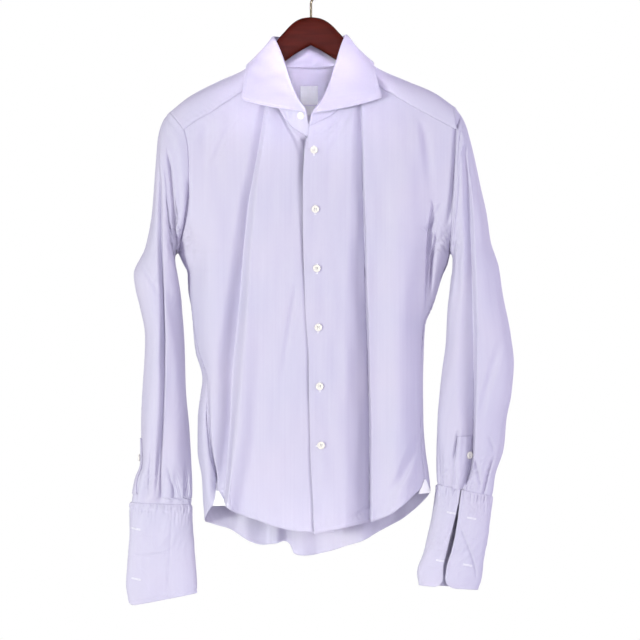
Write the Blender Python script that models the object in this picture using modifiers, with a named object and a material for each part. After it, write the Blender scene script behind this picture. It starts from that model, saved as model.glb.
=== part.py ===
"""Long sleeve dress shirt, unbuttoned at the neck, hanging on a contoured wooden hanger.

Frame: metres, +Z up, the front of the shirt faces -Y.  The origin is the inner top of the
hanger's hook.  Left and right are the wearer's, so the left side is at +X.
The tables are in millimetres; "drop" is the distance below the origin.
"""
import math

import bmesh
import bpy
import numpy as np
from mathutils import Vector
from mathutils.bvhtree import BVHTree

MM = 0.001

# ---------------------------------------------------------------- driving sizes (mm, degrees)
CLOTH = 1.4                 # wall of the shirting
COLLAR_CLOTH = 1.6          # wall of the interlined collar pieces
LABEL_CLOTH = 1.0
SEAM_GAP = 0.3              # between neighbouring pieces
TRIM = 0.35                 # taken off each panel's edge at a seam
SIDE_TRIM = 0.6             # at the side seams and armholes
YOKE_END_TRIM = 0.6         # taken off the yoke's ends at the armholes
SLEEVE_GAP = 0.9            # from the armhole seam to the sleeve's edge
UNDERARM_EASE = 2.2         # how far the sleeve's edge stands off at the underarm
PLACKET_LIFT = 1.1          # under the strips on the sleeves
GUSSET_EASE = {"right": 1.0, "left": 0.4}    # under the gussets
LAY_GAP = 0.45              # under what lies on a faceted panel

UNDERARM_DROP = 430.0
ARMHOLE_CORNER = 40.0       # angle on the armhole where the yoke's seams meet it
RING_POWER = 0.86           # squareness of the body's sections
SLEEVE_POWER = 0.92         # squareness of the sleeves' sections
BODY_MIDDLE = 4.0           # x of the body's middle
FRONT_LAP = 2.6             # how far the under front lies behind the top one

BUTTON_DIAMETER = 11.6
BUTTON_THICKNESS = 2.6
BUTTON_DISH = 0.7
BUTTON_SIDES = 12
BUTTON_PITCH = 88.8
FIRST_BUTTON_DROP = 276.7
BUTTON_COUNT = 6
BUTTON_LINE = (4.6, 0.0245)  # x of the first button, and its drift per mm of drop

HANGER_TILT = 0.75          # degrees, the wearer's right side hangs lower
HOOK_WIRE = 3.6
HOOK_INNER_RADIUS = 19.0
HOOK_SEAT = 0.2             # the stem ends this far below the tip of the wood's hump


# ---------------------------------------------------------------- tables and smooth curves
def table(names, rows):
    """Named columns from rows of numbers; the first column is the place along the piece."""
    names = names.split()
    columns = dict(zip(names, np.array(rows, float).T))
    columns["key"] = columns[names[0]]
    return columns


def smooth(at, places, values):
    """Values on a curve through (places, values) that never overshoots between them."""
    places = np.asarray(places, float)
    values = np.asarray(values, float)
    at = np.clip(np.asarray(at, float), places[0], places[-1])
    shape = (-1,) + (1,) * (values.ndim - 1)
    step = np.diff(places).reshape(shape)
    slope = np.diff(values, axis=0) / step
    before, after = slope[:-1], slope[1:]
    weight_a = 2 * step[1:] + step[:-1]
    weight_b = step[1:] + 2 * step[:-1]
    same = before * after > 0
    safe_before = np.where(same, before, 1.0)
    safe_after = np.where(same, after, 1.0)
    mean = (weight_a + weight_b) / (weight_a / safe_before + weight_b / safe_after)
    tangent = np.concatenate([slope[:1], np.where(same, mean, 0.0), slope[-1:]])
    index = np.clip(np.searchsorted(places, at) - 1, 0, len(places) - 2)
    width = (places[index + 1] - places[index]).reshape(at.shape + (1,) * (values.ndim - 1))
    t = ((at - places[index]).reshape(width.shape)) / width
    return ((2 * t**3 - 3 * t**2 + 1) * values[index]
            + (t**3 - 2 * t**2 + t) * width * tangent[index]
            + (3 * t**2 - 2 * t**3) * values[index + 1]
            + (t**3 - t**2) * width * tangent[index + 1])


def read(columns, name, at):
    return smooth(at, columns["key"], columns[name])


def triple(columns, names, at):
    return np.stack([read(columns, name, at) for name in names.split()], axis=-1)


def signed_power(value, power):
    return np.sign(value) * np.abs(value) ** power


def mix(first, second, weight):
    return first + (second - first) * weight


def unit(vectors):
    return vectors / np.linalg.norm(vectors, axis=-1, keepdims=True)


# ---------------------------------------------------------------- body sections
# Silhouette of the body, how far in the side seam lies from it, and the side's depth.
BODY = table("drop right right_seam left left_seam side_y", [
    (430, -202, 0, 211, 0, -2),
    (447, -194, 0, 206, 0, -2),
    (461, -187, 0, 200, 0, -2),
    (486, -186, 0, 193, 0, -1),
    (509, -183, 1, 185, 1, 0),
    (541, -181, 3, 173, 2, 0),
    (578, -176, 5, 171, 3, 0),
    (623, -166, 9, 171, 4, 0),
    (646, -168, 11, 171, 4, 0),
    (684, -172, 14, 171, 5, 0),
    (730, -173, 19, 174, 6, 0),
    (775, -166, 23, 180, 8, 0),
    (806, -164, 25, 183, 9, 0),
    (840, -161, 25, 185, 9, 0),
    (910, -159, 25, 186, 9, 0),
])

# Depth of the middle of the front and of the back.
DEPTH = table("drop front back", [
    (130, -6, 22),
    (165, -20, 34),
    (200, -41, 42),
    (240, -57, 46),
    (300, -63, 47),
    (400, -63, 46),
    (520, -57, 44),
    (700, -53, 42),
    (910, -50, 38),
])

# Armhole seams: 0 at the shoulder's top, 180 at the underarm.
ARMHOLE = {
    "right": table("angle drop x_front x_back y_front y_back", [
        (0, 217.5, -214.3, -214.3, -25, -25),
        (ARMHOLE_CORNER, 245, -191.5, -195, -46, 2),
        (65, 268, -186, -189, -48, 12),
        (90, 304, -184, -187, -50, 20),
        (115, 335, -185, -187, -50, 22),
        (140, 376, -191, -191, -44, 21),
        (160, 408, -197, -197, -27, 14),
        (180, UNDERARM_DROP, -202, -202, -2, -2),
    ]),
    "left": table("angle drop x_front x_back y_front y_back", [
        (0, 208.3, 216, 216, -25, -25),
        (ARMHOLE_CORNER, 245, 219.8, 213, -46, 2),
        (65, 268, 219, 210, -48, 12),
        (90, 300, 217, 208, -50, 20),
        (115, 335, 215, 208, -50, 22),
        (140, 375, 213, 209, -45, 21),
        (160, 408, 212, 210, -28, 14),
        (180, UNDERARM_DROP, 211, 211, -2, -2),
    ]),
}

# Edges of the two fronts at the centre, and the hems.
CENTRE = {
    "left": table("drop x", [
        (240, -3.5), (257, -5), (262, -9), (278, -9.7), (328, -12.2), (377, -12.2),
        (421, -11.6), (465, -10), (523, -7.9), (588, -3.6), (642, -3), (704, -1.5),
        (734, -1), (790, 2), (856, 4.9),
    ]),
    "right": table("drop x", [
        (257, 4), (280, 18), (300, 22), (450, 26), (560, 29), (700, 33), (850, 36),
    ]),
}
SEAM_FOOT = {"right": 803.0, "left": 784.0}
HEM = {
    "right": table("x drop", [
        (-150, 801), (-139, 803.5), (-124, 817), (-114, 823), (-82, 834), (-50, 845),
        (-14, 851), (20, 853), (40, 853),
    ]),
    "left": table("x drop", [
        (5, 855.5), (44, 847), (90, 837), (114, 828), (144, 806.5), (157, 795), (172, 784),
    ]),
}
BACK_HEM = table("across drop", [
    (-1, 803), (-0.9, 822), (-0.82, 842), (-0.66, 855), (-0.5, 878), (-0.38, 885),
    (-0.29, 879), (-0.2, 884), (-0.14, 899), (0, 899), (0.16, 893), (0.4, 874),
    (0.62, 850), (0.82, 822), (0.93, 800), (1, 784),
])

# ---------------------------------------------------------------- neck, collar and yoke
# seam = foot of the band, roll = its top where the leaf turns over, edge = outer leaf edge.
COLLAR = table(
    "place seam_x seam_y seam_drop roll_x roll_y roll_drop edge_x edge_y edge_drop", [
        (-1.00, 1, -54, 261, -7, -66, 217, -102.6, -53, 201),
        (-0.88, -33, -50, 237, -20, -57, 199, -105, -51, 196),
        (-0.77, -56, -39, 200, -31, -44, 172, -103.5, -46, 186),
        (-0.65, -73, -27, 164, -42, -26, 139, -100.5, -36, 163),
        (-0.57, -79, -15, 141, -51, -15, 116, -98.5, -21, 149),
        (-0.50, -80, -2, 133, -57, -2, 102, -97, -5, 142.5),
        (-0.40, -76, 16, 136, -57, 12, 100, -94, 16, 145),
        (-0.25, -58, 34, 140, -45, 34, 98.5, -80, 50, 150),
        (-0.12, -30, 42, 143, -24, 46, 98.5, -42, 67, 153),
        (0.00, 0, 45, 144.5, 0, 50, 99, 0, 72, 154),
        (0.12, 30, 42, 143, 24, 46, 98.5, 42, 67, 153),
        (0.25, 58, 34, 140, 43, 34, 98, 78, 50, 149),
        (0.40, 76, 16, 136, 53, 12, 97.5, 92, 16, 142),
        (0.50, 80, -2, 133, 53, -2, 99, 94.5, -5, 139.5),
        (0.57, 79, -15, 141, 47.5, -15, 114, 96, -21, 146),
        (0.65, 73, -27, 164, 40, -26, 139, 98.5, -36, 160),
        (0.77, 55, -40, 198, 30, -44, 172, 102.5, -46, 180),
        (0.88, 32, -52, 223, 18, -58, 201, 105.5, -50, 190),
        (1.00, -3.5, -61, 241, 3, -69, 218.5, 106.4, -52, 197.5),
    ])
BAND_LIFT = 1.6             # of the band's foot above the neck seam
BAND_TOP_TRIM = 0.7         # the band's top stays below the leaf's turn
BAND_END_TRIM = 1.2         # the band ends this much short of the leaf
LEAF_EASE = 0.9             # play between the band and the leaf at the roll
LEAF_BULGE = 0.05           # of the leaf's width
NECK_FRONT = 0.65           # place where the yoke's front seam meets the neck seam
NECK_TOP = 0.50             # place where the neck seam crosses the shoulder's ridge

# Yoke: its front seam, ridge and back seam, from the neck (0) to the armhole (1).
YOKE = {
    "right": table("along front_x front_y front_drop ridge_x ridge_y ridge_drop", [
        (0, -73, -27, 164, -80, -2, 133),
        (0.35, -115, -38, 194, -102, -4, 151),
        (0.65, -152, -43, 219, -146, -12, 172),
        (0.85, -174, -45, 232, -184, -20, 193),
        (1, -191.5, -46, 245, -214.3, -25, 217.5),
    ]),
    "left": table("along front_x front_y front_drop ridge_x ridge_y ridge_drop", [
        (0, 73, -27, 164, 80, -2, 133),
        (0.35, 120, -38, 189, 104, -4, 150),
        (0.65, 160, -43, 213, 148, -12, 170),
        (0.85, 193, -45, 231, 186, -20, 187),
        (1, 219.8, -46, 245, 216, -25, 208.3),
    ]),
}
YOKE_NECK_SHARE = 0.40      # share of the back seam that lies below the neck
BACK_SEAM_DROP = 236.0      # of the yoke's back seam at the middle

# ---------------------------------------------------------------- folds (path: drop, x, depth)
# A positive depth presses the cloth in; widths are given for the two flanks.
FRONT_FOLDS = [
    dict(path=[(211, -76, 4), (281, -85, 7), (348, -99, 9), (426, -106, 9), (547, -122, 9),
               (640, -128, 7), (720, -131, 0)], right=20, left=12),
    dict(path=[(455, -94, 0), (547, -101, -7), (699, -109, -11), (775, -119, -12),
               (830, -126, -12)], right=22, left=26),
    dict(path=[(620, -152, 0), (690, -156, 8), (740, -155, 9), (770, -151, 4),
               (788, -148, 0)], right=11, left=15),
    dict(path=[(225, -152, 0), (262, -160, 3.5), (330, -162, 2), (400, -164, 0)],
         right=16, left=12),
    dict(path=[(205, 73, 2), (300, 80, 5), (400, 84, 7), (600, 92, 12), (720, 95, 16),
               (860, 97, 18)], right=42, left=13),
    dict(path=[(500, 118, 0), (650, 122, -4), (840, 124, -6)], right=16, left=26),
    dict(path=[(215, 160, 0), (250, 170, 4), (300, 178, 3), (360, 182, 0)],
         right=12, left=12),
    dict(path=[(350, 184, 0), (400, 178, 10), (440, 176, 14), (480, 173, 12), (520, 166, 0)],
         right=11, left=9),
    dict(path=[(700, 165, 0), (760, 140, 5), (800, 118, 3), (830, 108, 0)],
         right=13, left=13),
]
BACK_FOLDS = [
    dict(path=[(240, -120, 0), (330, -112, 5), (600, -104, 9), (880, -98, 14)],
         right=18, left=30),
    dict(path=[(620, -50, 0), (760, -52, 8), (910, -54, 16)], right=14, left=12),
    dict(path=[(240, 60, 0), (420, 66, 6), (700, 74, 10), (900, 80, 12)],
         right=34, left=18),
    dict(path=[(500, 130, 0), (640, 128, -5), (860, 126, -9)], right=24, left=24),
    dict(path=[(520, 8, 0), (700, 12, -6), (910, 14, -8)], right=30, left=30),
]
SLEEVE_FOLDS = {
    "right": dict(
        front=[
            dict(path=[(262, -208, 0), (300, -210, 9), (350, -207, 11), (395, -206, 11),
                       (430, -204, 4), (450, -203, 0)], right=8, left=7),
            dict(path=[(300, -231, 0), (372, -228, 5), (430, -227, 6), (500, -226, 5),
                       (560, -222, 8), (640, -223, 7), (700, -226, 0)],
                 right=11, left=9),
        ],
        back=[
            dict(path=[(280, -215, 0), (380, -212, 9), (500, -214, 8), (640, -216, 9),
                       (740, -222, 0)], right=10, left=9),
        ]),
    "left": dict(
        front=[
            dict(path=[(245, 237, 0), (283, 236, 5), (330, 237, 6), (400, 243, 6),
                       (500, 249, 8), (560, 247, 9), (640, 240, 7), (700, 238, 0)],
                 right=13, left=20),
            dict(path=[(395, 225, 0), (440, 222, 6), (480, 221, 4), (520, 220, 0)],
                 right=8, left=8),
        ],
        back=[
            dict(path=[(280, 232, 0), (400, 240, 8), (520, 250, 9), (660, 252, 8),
                       (740, 244, 0)], right=12, left=14),
        ]),
}

# ---------------------------------------------------------------- sleeves and cuffs
# Outer and inner outline of each section, with the middle's y and half of the depth.
SLEEVE = {
    "right": table("row outer_x outer_drop inner_x inner_drop y depth", [
        (1, -223.7, 229.6, -206, 434, -13, 40),
        (2, -231.3, 252.4, -207.5, 441, -12, 43),
        (3, -235.6, 296.5, -206.5, 450, -11, 45),
        (4, -239, 338, -204.5, 461, -10, 46),
        (5, -242.5, 371, -201.5, 474, -9, 46),
        (6, -252, 421, -199, 489.5, -7, 46),
        (7, -269, 461, -197.6, 504, -5, 43),
        (8, -266, 486.5, -196.8, 520, -4, 42),
        (9, -260, 512, -195.3, 540, -3, 42),
        (10, -252.8, 559, -193, 578, -2, 43),
        (11, -255.7, 634, -190.8, 641, -2, 43),
        (12, -258.4, 699, -186, 699, -2, 40),
        (13, -259, 748, -183, 748, -2, 34),
        (14, -267.5, 776, -182.4, 779, -2, 26),
        (15, -274.4, 808.7, -183, 811.8, -2, 16.5),
    ]),
    "left": table("row outer_x outer_drop inner_x inner_drop y depth", [
        (1, 229.4, 224.3, 214.5, 434, -13, 40),
        (2, 235, 236, 216, 441, -12, 43),
        (3, 241, 256, 216, 449, -11, 45),
        (4, 249.3, 289, 215.5, 459, -10, 46),
        (5, 258, 330, 214, 468, -9, 46),
        (6, 267, 371, 212.5, 480, -7, 46),
        (7, 273, 412, 211, 493, -5, 44),
        (8, 285.8, 452, 209, 507, -4, 42),
        (9, 292, 495.6, 207.5, 527, -3, 40),
        (10, 304, 556.4, 206, 566, -2, 36),
        (11, 309.5, 599, 201.4, 603, -2, 33),
        (12, 306.6, 641.5, 196.8, 641.5, -2, 33),
        (13, 297, 684, 193, 684, -2, 33),
        (14, 292, 727, 192.3, 727, -2, 30),
        (15, 280, 767, 193, 762, -2, 25),
        (16, 275.9, 799, 193.8, 781, -2, 18),
    ]),
}
SLEEVE_ROWS = {
    "right": dict(plain=[0, 1, 2, 3, 4, 5, 6, 6.5, 7, 8, 9, 10, 10.5, 11, 12, 12.6],
                  gathered=[13.2, 13.8, 14.4, 15]),
    "left": dict(plain=[0, 1, 2, 3, 4, 5, 6, 7, 8, 9, 9.5, 10, 11, 12, 13, 13.6],
                 gathered=[14.2, 14.8, 15.4, 16]),
}
GATHER_START = {"right": 12.6, "left": 13.6}
GATHER_COUNT = 14           # gathers round each sleeve's foot
GATHER_DEPTH = 2.6
SLEEVE_COLUMNS = 28         # doubled at the gathers
SLIT_ANGLE = {"right": 0.0, "left": 62.0}    # where the sleeve and cuff open
SLIT_CLEAR = 34.0           # degrees on each side of the slit without gathers

CUFF = {
    "right": table("down outer_x outer_drop inner_x inner_drop y depth", [
        (0, -275.2, 809.6, -183, 812.7, -2, 15.5),
        (0.33, -276.5, 857, -180, 857, -2, 15),
        (0.68, -279, 910, -176, 910, -2, 14),
        (0.88, -281, 942, -174, 940, -2, 13),
        (1, -279, 968, -174.5, 948, -2, 13),
    ]),
    "left": table("down outer_x outer_drop inner_x inner_drop y depth", [
        (0, 276, 799.9, 193.5, 781.9, -2, 17),
        (0.33, 271.5, 848, 184, 829, -2, 16),
        (0.68, 263.5, 890, 172, 880, -2, 15),
        (0.88, 259.5, 917, 163, 913, -2, 14),
        (1, 254, 943, 165, 936, -2, 14),
    ]),
}
CUFF_OPENING = {"right": 0.0, "left": 98.0}  # angle of the gap between the cuff's ends
CUFF_GAP = 4.0              # between the cuff's two ends
CUFF_CORNER = 16.0          # radius of its rounded corners
CUFF_COLUMNS = 30

# ---------------------------------------------------------------- small pieces
BAND_BUTTON = (-14.5, -300, 224.5)
LABELS = {
    "label_main": ((-17, 10.5), (171, 200)),
    "label_small": ((-12, 12), (202, 216)),
}
PLACKET = {
    "left": dict(x=(227, 250), drop=(708, 788), y=-300, slant=6.0, into=(0, 1, 0),
                 button=(240, -300, 737)),
    "right": dict(y=(-14, 8), drop=(712, 791), x=-400, slant=0.0, into=(1, 0, 0),
                  button=(-400, -3, 742)),
}
GUSSET = {"right": dict(top=790.0, foot=812.0), "left": dict(top=775.0, foot=795.0)}
GUSSET_HALF_WIDTH = 14.0

# ---------------------------------------------------------------- hanger
HANGER = table("x top bottom y thick", [
    (0, 70, 113, 0, 14), (12, 71.5, 119, 0, 14), (22, 75.5, 125, 0, 14),
    (31, 82, 131, 0, 14), (41, 92.5, 138, 0, 14), (49, 101.5, 143, -0.5, 14),
    (62, 119, 153, -1.5, 13), (80, 137.4, 170, -3, 14), (100, 151.6, 186, -6, 16),
    (131, 166, 203, -10, 17), (160, 180.2, 212, -15, 18), (182, 192.6, 217, -20, 19),
    (199, 206.2, 219, -23, 18), (206, 211, 219, -24, 14), (209, 214.5, 217.5, -24.5, 7),
])
HANGER_SIDES = 12            # points round each section
HANGER_SQUARENESS = 0.72
HANGER_HUMP = 30.0           # half width of the hump at the hook, which stands level


# ---------------------------------------------------------------- scene, materials, meshes
for old in list(bpy.data.objects):
    bpy.data.objects.remove(old, do_unlink=True)

shirt = bpy.data.collections.new("dress_shirt_on_hanger")
bpy.context.scene.collection.children.link(shirt)


def material(name, colour, roughness, metallic=0.0):
    finish = bpy.data.materials.new(name)
    finish.use_nodes = True
    shader = finish.node_tree.nodes["Principled BSDF"]
    shader.inputs["Base Color"].default_value = (*colour, 1.0)
    shader.inputs["Roughness"].default_value = roughness
    shader.inputs["Metallic"].default_value = metallic
    return finish


def new_object(name, mesh, finish):
    piece = bpy.data.objects.new(name, mesh)
    piece.data.materials.append(finish)
    shirt.objects.link(piece)
    return piece


def to_world(points):
    """Table millimetres (x, y, drop) to metres with +Z up."""
    points = np.asarray(points, float) * MM
    return np.stack([points[..., 0], points[..., 1], -points[..., 2]], axis=-1)


class Patchwork:
    """Gathers grids of points into one mesh and welds the points that they share."""

    def __init__(self):
        self.bm = bmesh.new()

    def grid(self, points, closed=False, flip=False):
        """Adds the quads of a grid [row][column]; a closed grid's columns go all round."""
        rows = [[self.bm.verts.new(p) for p in row] for row in to_world(points)]
        for upper, lower in zip(rows[:-1], rows[1:]):
            self.strip(upper, lower, closed, flip)
        return rows

    def strip(self, upper, lower, closed=False, flip=False):
        """Joins two rows; the lower row may have twice as many columns as the upper."""
        share = len(lower) // len(upper) if closed else 1
        count = len(upper) if closed else len(upper) - 1
        for i in range(count):
            j = (i + 1) % len(upper)
            foot = [lower[(i * share + k) % len(lower)] for k in range(share, -1, -1)]
            corners = [upper[i], upper[j]] + foot
            self.bm.faces.new(corners[::-1] if flip else corners)

    def finish(self, name, finish, wall):
        bmesh.ops.remove_doubles(self.bm, verts=self.bm.verts, dist=0.00001)
        mesh = bpy.data.meshes.new(name)
        self.bm.to_mesh(mesh)
        self.bm.free()
        piece = new_object(name, mesh, finish)
        shell = piece.modifiers.new("wall", "SOLIDIFY")
        shell.thickness = wall * MM
        shell.offset = 0.0
        shell.use_even_offset = False
        shell.use_quality_normals = True
        mesh.shade_smooth()
        return piece


def cloth(name, grids, finish, wall=CLOTH, closed=False):
    """A cloth piece: open surface of one or more grids, given its wall by Solidify."""
    work = Patchwork()
    for points in grids:
        work.grid(points, closed)
    return work.finish(name, finish, wall)


# ---------------------------------------------------------------- shared surfaces
def trimmed(grid, first_row=0.0, last_row=0.0, first_column=0.0, last_column=0.0):
    """Draws a grid's edges in along the surface by the given millimetres."""
    grid = grid.copy()

    def draw(edge, neighbour, amount):
        return edge + unit(neighbour - edge) * amount

    grid[0] = draw(grid[0], grid[1], first_row)
    grid[-1] = draw(grid[-1], grid[-2], last_row)
    grid[:, 0] = draw(grid[:, 0], grid[:, 1], first_column)
    grid[:, -1] = draw(grid[:, -1], grid[:, -2], last_column)
    return grid


def fold_depth(folds, x, drop):
    """Sum of the folds at points (x, drop): a cosine bell across each fold's path."""
    total = np.zeros(np.broadcast(x, drop).shape)
    for fold in folds:
        drops, places, depths = np.array(fold["path"], float).T
        centre = smooth(drop, drops, places)
        depth = smooth(drop, drops, depths)
        depth = np.where((drop < drops[0]) | (drop > drops[-1]), 0.0, depth)
        off = x - centre
        reach = np.where(off < 0, fold["right"], fold["left"])
        bell = 0.5 + 0.5 * np.cos(np.pi * np.clip(off / reach, -1, 1))
        total = total + depth * bell
    return total


def arch(top, foot, lean):
    """Quarter ellipse from top (lean 0) to foot (lean 1), level at the top."""
    beta = lean * math.pi / 2
    reach = np.stack([1 - np.cos(beta), np.sin(beta), 1 - np.cos(beta)], axis=-1)
    return top + (foot - top) * reach


def armhole(side, angle):
    """Armhole seam: 0 at the shoulder's top, 180 at the underarm, minus on the back."""
    rows = ARMHOLE[side]
    angle = np.asarray(angle, float)
    turn = np.abs(angle)
    top = triple(rows, "x_front y_front drop", 0.0)
    seam = {}
    for face in ("front", "back"):
        names = f"x_{face} y_{face} drop"
        low = np.stack([smooth(turn, rows["key"][1:], rows[n][1:]) for n in names.split()],
                       axis=-1)
        corner = triple(rows, names, ARMHOLE_CORNER)
        high = arch(top, corner, np.clip(turn / ARMHOLE_CORNER, 0, 1))
        seam[face] = np.where((turn < ARMHOLE_CORNER)[..., None], high, low)
    return np.where((angle >= 0)[..., None], seam["front"], seam["back"])


def body_ring(side, drop, a, face):
    """Point of a body section: a is 0 at the silhouette and 90 degrees at the middle."""
    outline = read(BODY, side, drop)
    side_y = read(BODY, "side_y", drop)
    middle_y = read(DEPTH, face, drop)
    x = BODY_MIDDLE + (outline - BODY_MIDDLE) * signed_power(np.cos(a), RING_POWER)
    y = side_y + (middle_y - side_y) * np.abs(np.sin(a)) ** RING_POWER
    return x, y


def angle_at(side, drop, x):
    """Angle a of the body section where it passes x."""
    outline = read(BODY, side, drop)
    share = np.clip((x - BODY_MIDDLE) / (outline - BODY_MIDDLE), -1, 1)
    return np.arccos(signed_power(share, 1 / RING_POWER))


def seam_angle(side, drop):
    """Angle of the side seam, which lies a little towards the front."""
    inset = read(BODY, side + "_seam", drop)
    outline = read(BODY, side, drop)
    return angle_at(side, drop, outline - np.sign(outline) * inset)


def neck_seam(place):
    return triple(COLLAR, "seam_x seam_y seam_drop", place)


def yoke_front(side, along):
    return triple(YOKE[side], "front_x front_y front_drop", along)


def turned(share, along, end_cos=0.0):
    """Mix of a round and a straight way across: share of x left, share of depth gained."""
    a = np.arccos(signed_power(end_cos, 1 / RING_POWER)) * along
    round_x = signed_power(np.cos(a), RING_POWER)
    round_y = np.abs(np.sin(a)) ** RING_POWER
    straight_x = 1 - along * (1 - end_cos)
    straight_y = 1 - (1 - along) ** 2
    return mix(straight_x, round_x, share), mix(straight_y, round_y, share)


NECK_COLUMN = 11 / 18           # share of a front's columns that end on the yoke


def front_grid(side, columns, low_rows, high_rows):
    """Grid of a front, hem first, side seam or armhole to centre edge."""
    sign = -1 if side == "right" else 1
    across = np.linspace(0, 1, columns + 1)[None, :]
    up = np.linspace(0, 1, low_rows + 1)[:, None]
    centre_x = CENTRE[side]

    # below the underarm: the body's rings, between the side seam and the centre edge
    hem_guess = mix(SEAM_FOOT[side], 853.0, across)
    end = angle_at(side, hem_guess, read(centre_x, "x", hem_guess))
    hem_a = mix(seam_angle(side, hem_guess), end, across)
    hem_x, _ = body_ring(side, hem_guess, hem_a, "front")
    hem = read(HEM[side], "drop", hem_x)
    drop = mix(hem, UNDERARM_DROP, up)
    a = mix(seam_angle(side, drop), angle_at(side, drop, read(centre_x, "x", drop)), across)
    x, y = body_ring(side, drop, a, "front")
    low = np.stack([x, y, drop], axis=-1)

    # above it: from the armhole to the centre edge, meeting the yoke and the neck seam
    angles = np.linspace(180, ARMHOLE_CORNER, high_rows + 1)
    outer = armhole(side, angles)
    rise = (UNDERARM_DROP - outer[:, 2]) / (UNDERARM_DROP - outer[-1, 2])
    rise = rise[:, None]
    on_yoke = np.clip(across[0] / NECK_COLUMN, 0, 1)
    on_neck = np.clip((across[0] - NECK_COLUMN) / (1 - NECK_COLUMN), 0, 1)
    place = sign * mix(NECK_FRONT, 1.0, on_neck)
    top = np.where((across[0] < NECK_COLUMN)[:, None],
                   yoke_front(side, 1 - on_yoke), neck_seam(place))
    drop = mix(UNDERARM_DROP, top[None, :, 2], rise)
    outer_x = outer[:, 0][:, None]
    outer_y = outer[:, 1][:, None]
    edge_x = read(centre_x, "x", drop[:, -1:])
    end_cos = (edge_x - BODY_MIDDLE) / (outer_x - BODY_MIDDLE)
    share = mix(1.0, 0.3, np.clip(rise / 0.55, 0, 1) ** 0.7)
    left_x, gained = turned(share, across, end_cos)
    x = BODY_MIDDLE + (outer_x - BODY_MIDDLE) * left_x
    y = outer_y + (read(DEPTH, "front", drop) - outer_y) * gained
    x = x + (top[None, :, 0] - x[-1:, :]) * rise ** 1.6
    y = y + (top[None, :, 1] - y[-1:, :]) * rise ** 2.2
    high = np.stack([x, y, drop], axis=-1)

    grid = np.concatenate([low, high[1:]], axis=0)
    from_top = np.concatenate([np.ones((low_rows + 1, 1)), np.clip((1 - rise[1:]) / 0.12, 0, 1)])
    from_side = np.clip(across / 0.06, 0, 1)
    weight = from_top * np.where(grid[..., 2] < UNDERARM_DROP, from_side, 1.0)
    grid[..., 1] += weight * fold_depth(FRONT_FOLDS, grid[..., 0], grid[..., 2])
    if side == "right":
        top_edge = read(CENTRE["left"], "x", grid[..., 2])
        under = np.clip((grid[..., 0] - top_edge + 16) / 12, 0, 1)
        grid[..., 1] += FRONT_LAP * under
    return trimmed(grid, last_row=TRIM, first_column=SIDE_TRIM)


def back_seam(across):
    """Yoke's back seam from the right armhole (-1) to the left one (1)."""
    ends = {s: armhole(s, -ARMHOLE_CORNER) for s in ("right", "left")}
    reach = np.abs(across)
    end = np.where((across < 0)[..., None], ends["right"], ends["left"])
    x = BODY_MIDDLE + (end[..., 0] - BODY_MIDDLE) * reach
    y = mix(47.0, end[..., 1], reach ** 2.2)
    drop = mix(BACK_SEAM_DROP, end[..., 2], reach ** 2)
    return np.stack([x, y, drop], axis=-1)


def back_grid(columns, low_rows, high_rows):
    """Grid of the back, tail first, right side seam to left side seam."""
    across = np.linspace(-1, 1, columns + 1)[None, :]
    inward = 1 - np.abs(across)
    up = np.linspace(0, 1, low_rows + 1)[:, None]
    hem = read(BACK_HEM, "drop", across)
    drop = mix(hem, UNDERARM_DROP, up)
    halves, seam_side = [], []
    for side in ("right", "left"):
        seam = -seam_angle(side, drop)
        a = mix(seam, math.pi / 2, inward)
        on_back = body_ring(side, drop, a, "back")
        on_front = body_ring(side, drop, a, "front")
        wrapped = a < 0
        seam_side.append(wrapped)
        halves.append(np.stack([on_back[0], np.where(wrapped, on_front[1], on_back[1]), drop],
                               axis=-1))
    low = np.where((across < 0)[..., None], halves[0], halves[1])
    in_front = np.where(across < 0, seam_side[0], seam_side[1])
    low[..., 1] += in_front * fold_depth(FRONT_FOLDS, low[..., 0], low[..., 2])

    angles = np.linspace(-180, -ARMHOLE_CORNER, high_rows + 1)
    ends = {s: armhole(s, angles) for s in ("right", "left")}
    top = back_seam(across[0])
    rise = (UNDERARM_DROP - ends["left"][:, 2]) / (UNDERARM_DROP - ends["left"][-1, 2])
    rise = rise[:, None]
    drop = mix(UNDERARM_DROP, top[None, :, 2], rise)
    share = mix(1.0, 0.25, np.clip(rise / 0.55, 0, 1) ** 0.7)
    left_x, gained = turned(share, inward)
    is_right = across < 0
    outer_x = np.where(is_right, ends["right"][:, 0][:, None], ends["left"][:, 0][:, None])
    outer_y = np.where(is_right, ends["right"][:, 1][:, None], ends["left"][:, 1][:, None])
    outer_drop = np.where(is_right, ends["right"][:, 2][:, None], ends["left"][:, 2][:, None])
    x = BODY_MIDDLE + (outer_x - BODY_MIDDLE) * left_x
    y = outer_y + (read(DEPTH, "back", drop) - outer_y) * gained
    drop = drop + (outer_drop - drop) * (1 - inward) ** 8
    x = x + (top[None, :, 0] - x[-1:, :]) * rise ** 1.6
    y = y + (top[None, :, 1] - y[-1:, :]) * rise ** 2.2
    high = np.stack([x, y, drop], axis=-1)

    grid = np.concatenate([low, high[1:]], axis=0)
    from_top = np.concatenate([np.ones((low_rows + 1, 1)), np.clip((1 - rise[1:]) / 0.12, 0, 1)])
    from_side = np.clip(inward / 0.08, 0, 1)
    grid[..., 1] -= from_top * from_side * fold_depth(BACK_FOLDS, grid[..., 0], grid[..., 2])
    return trimmed(grid, last_row=TRIM, first_column=SIDE_TRIM, last_column=SIDE_TRIM)


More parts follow.
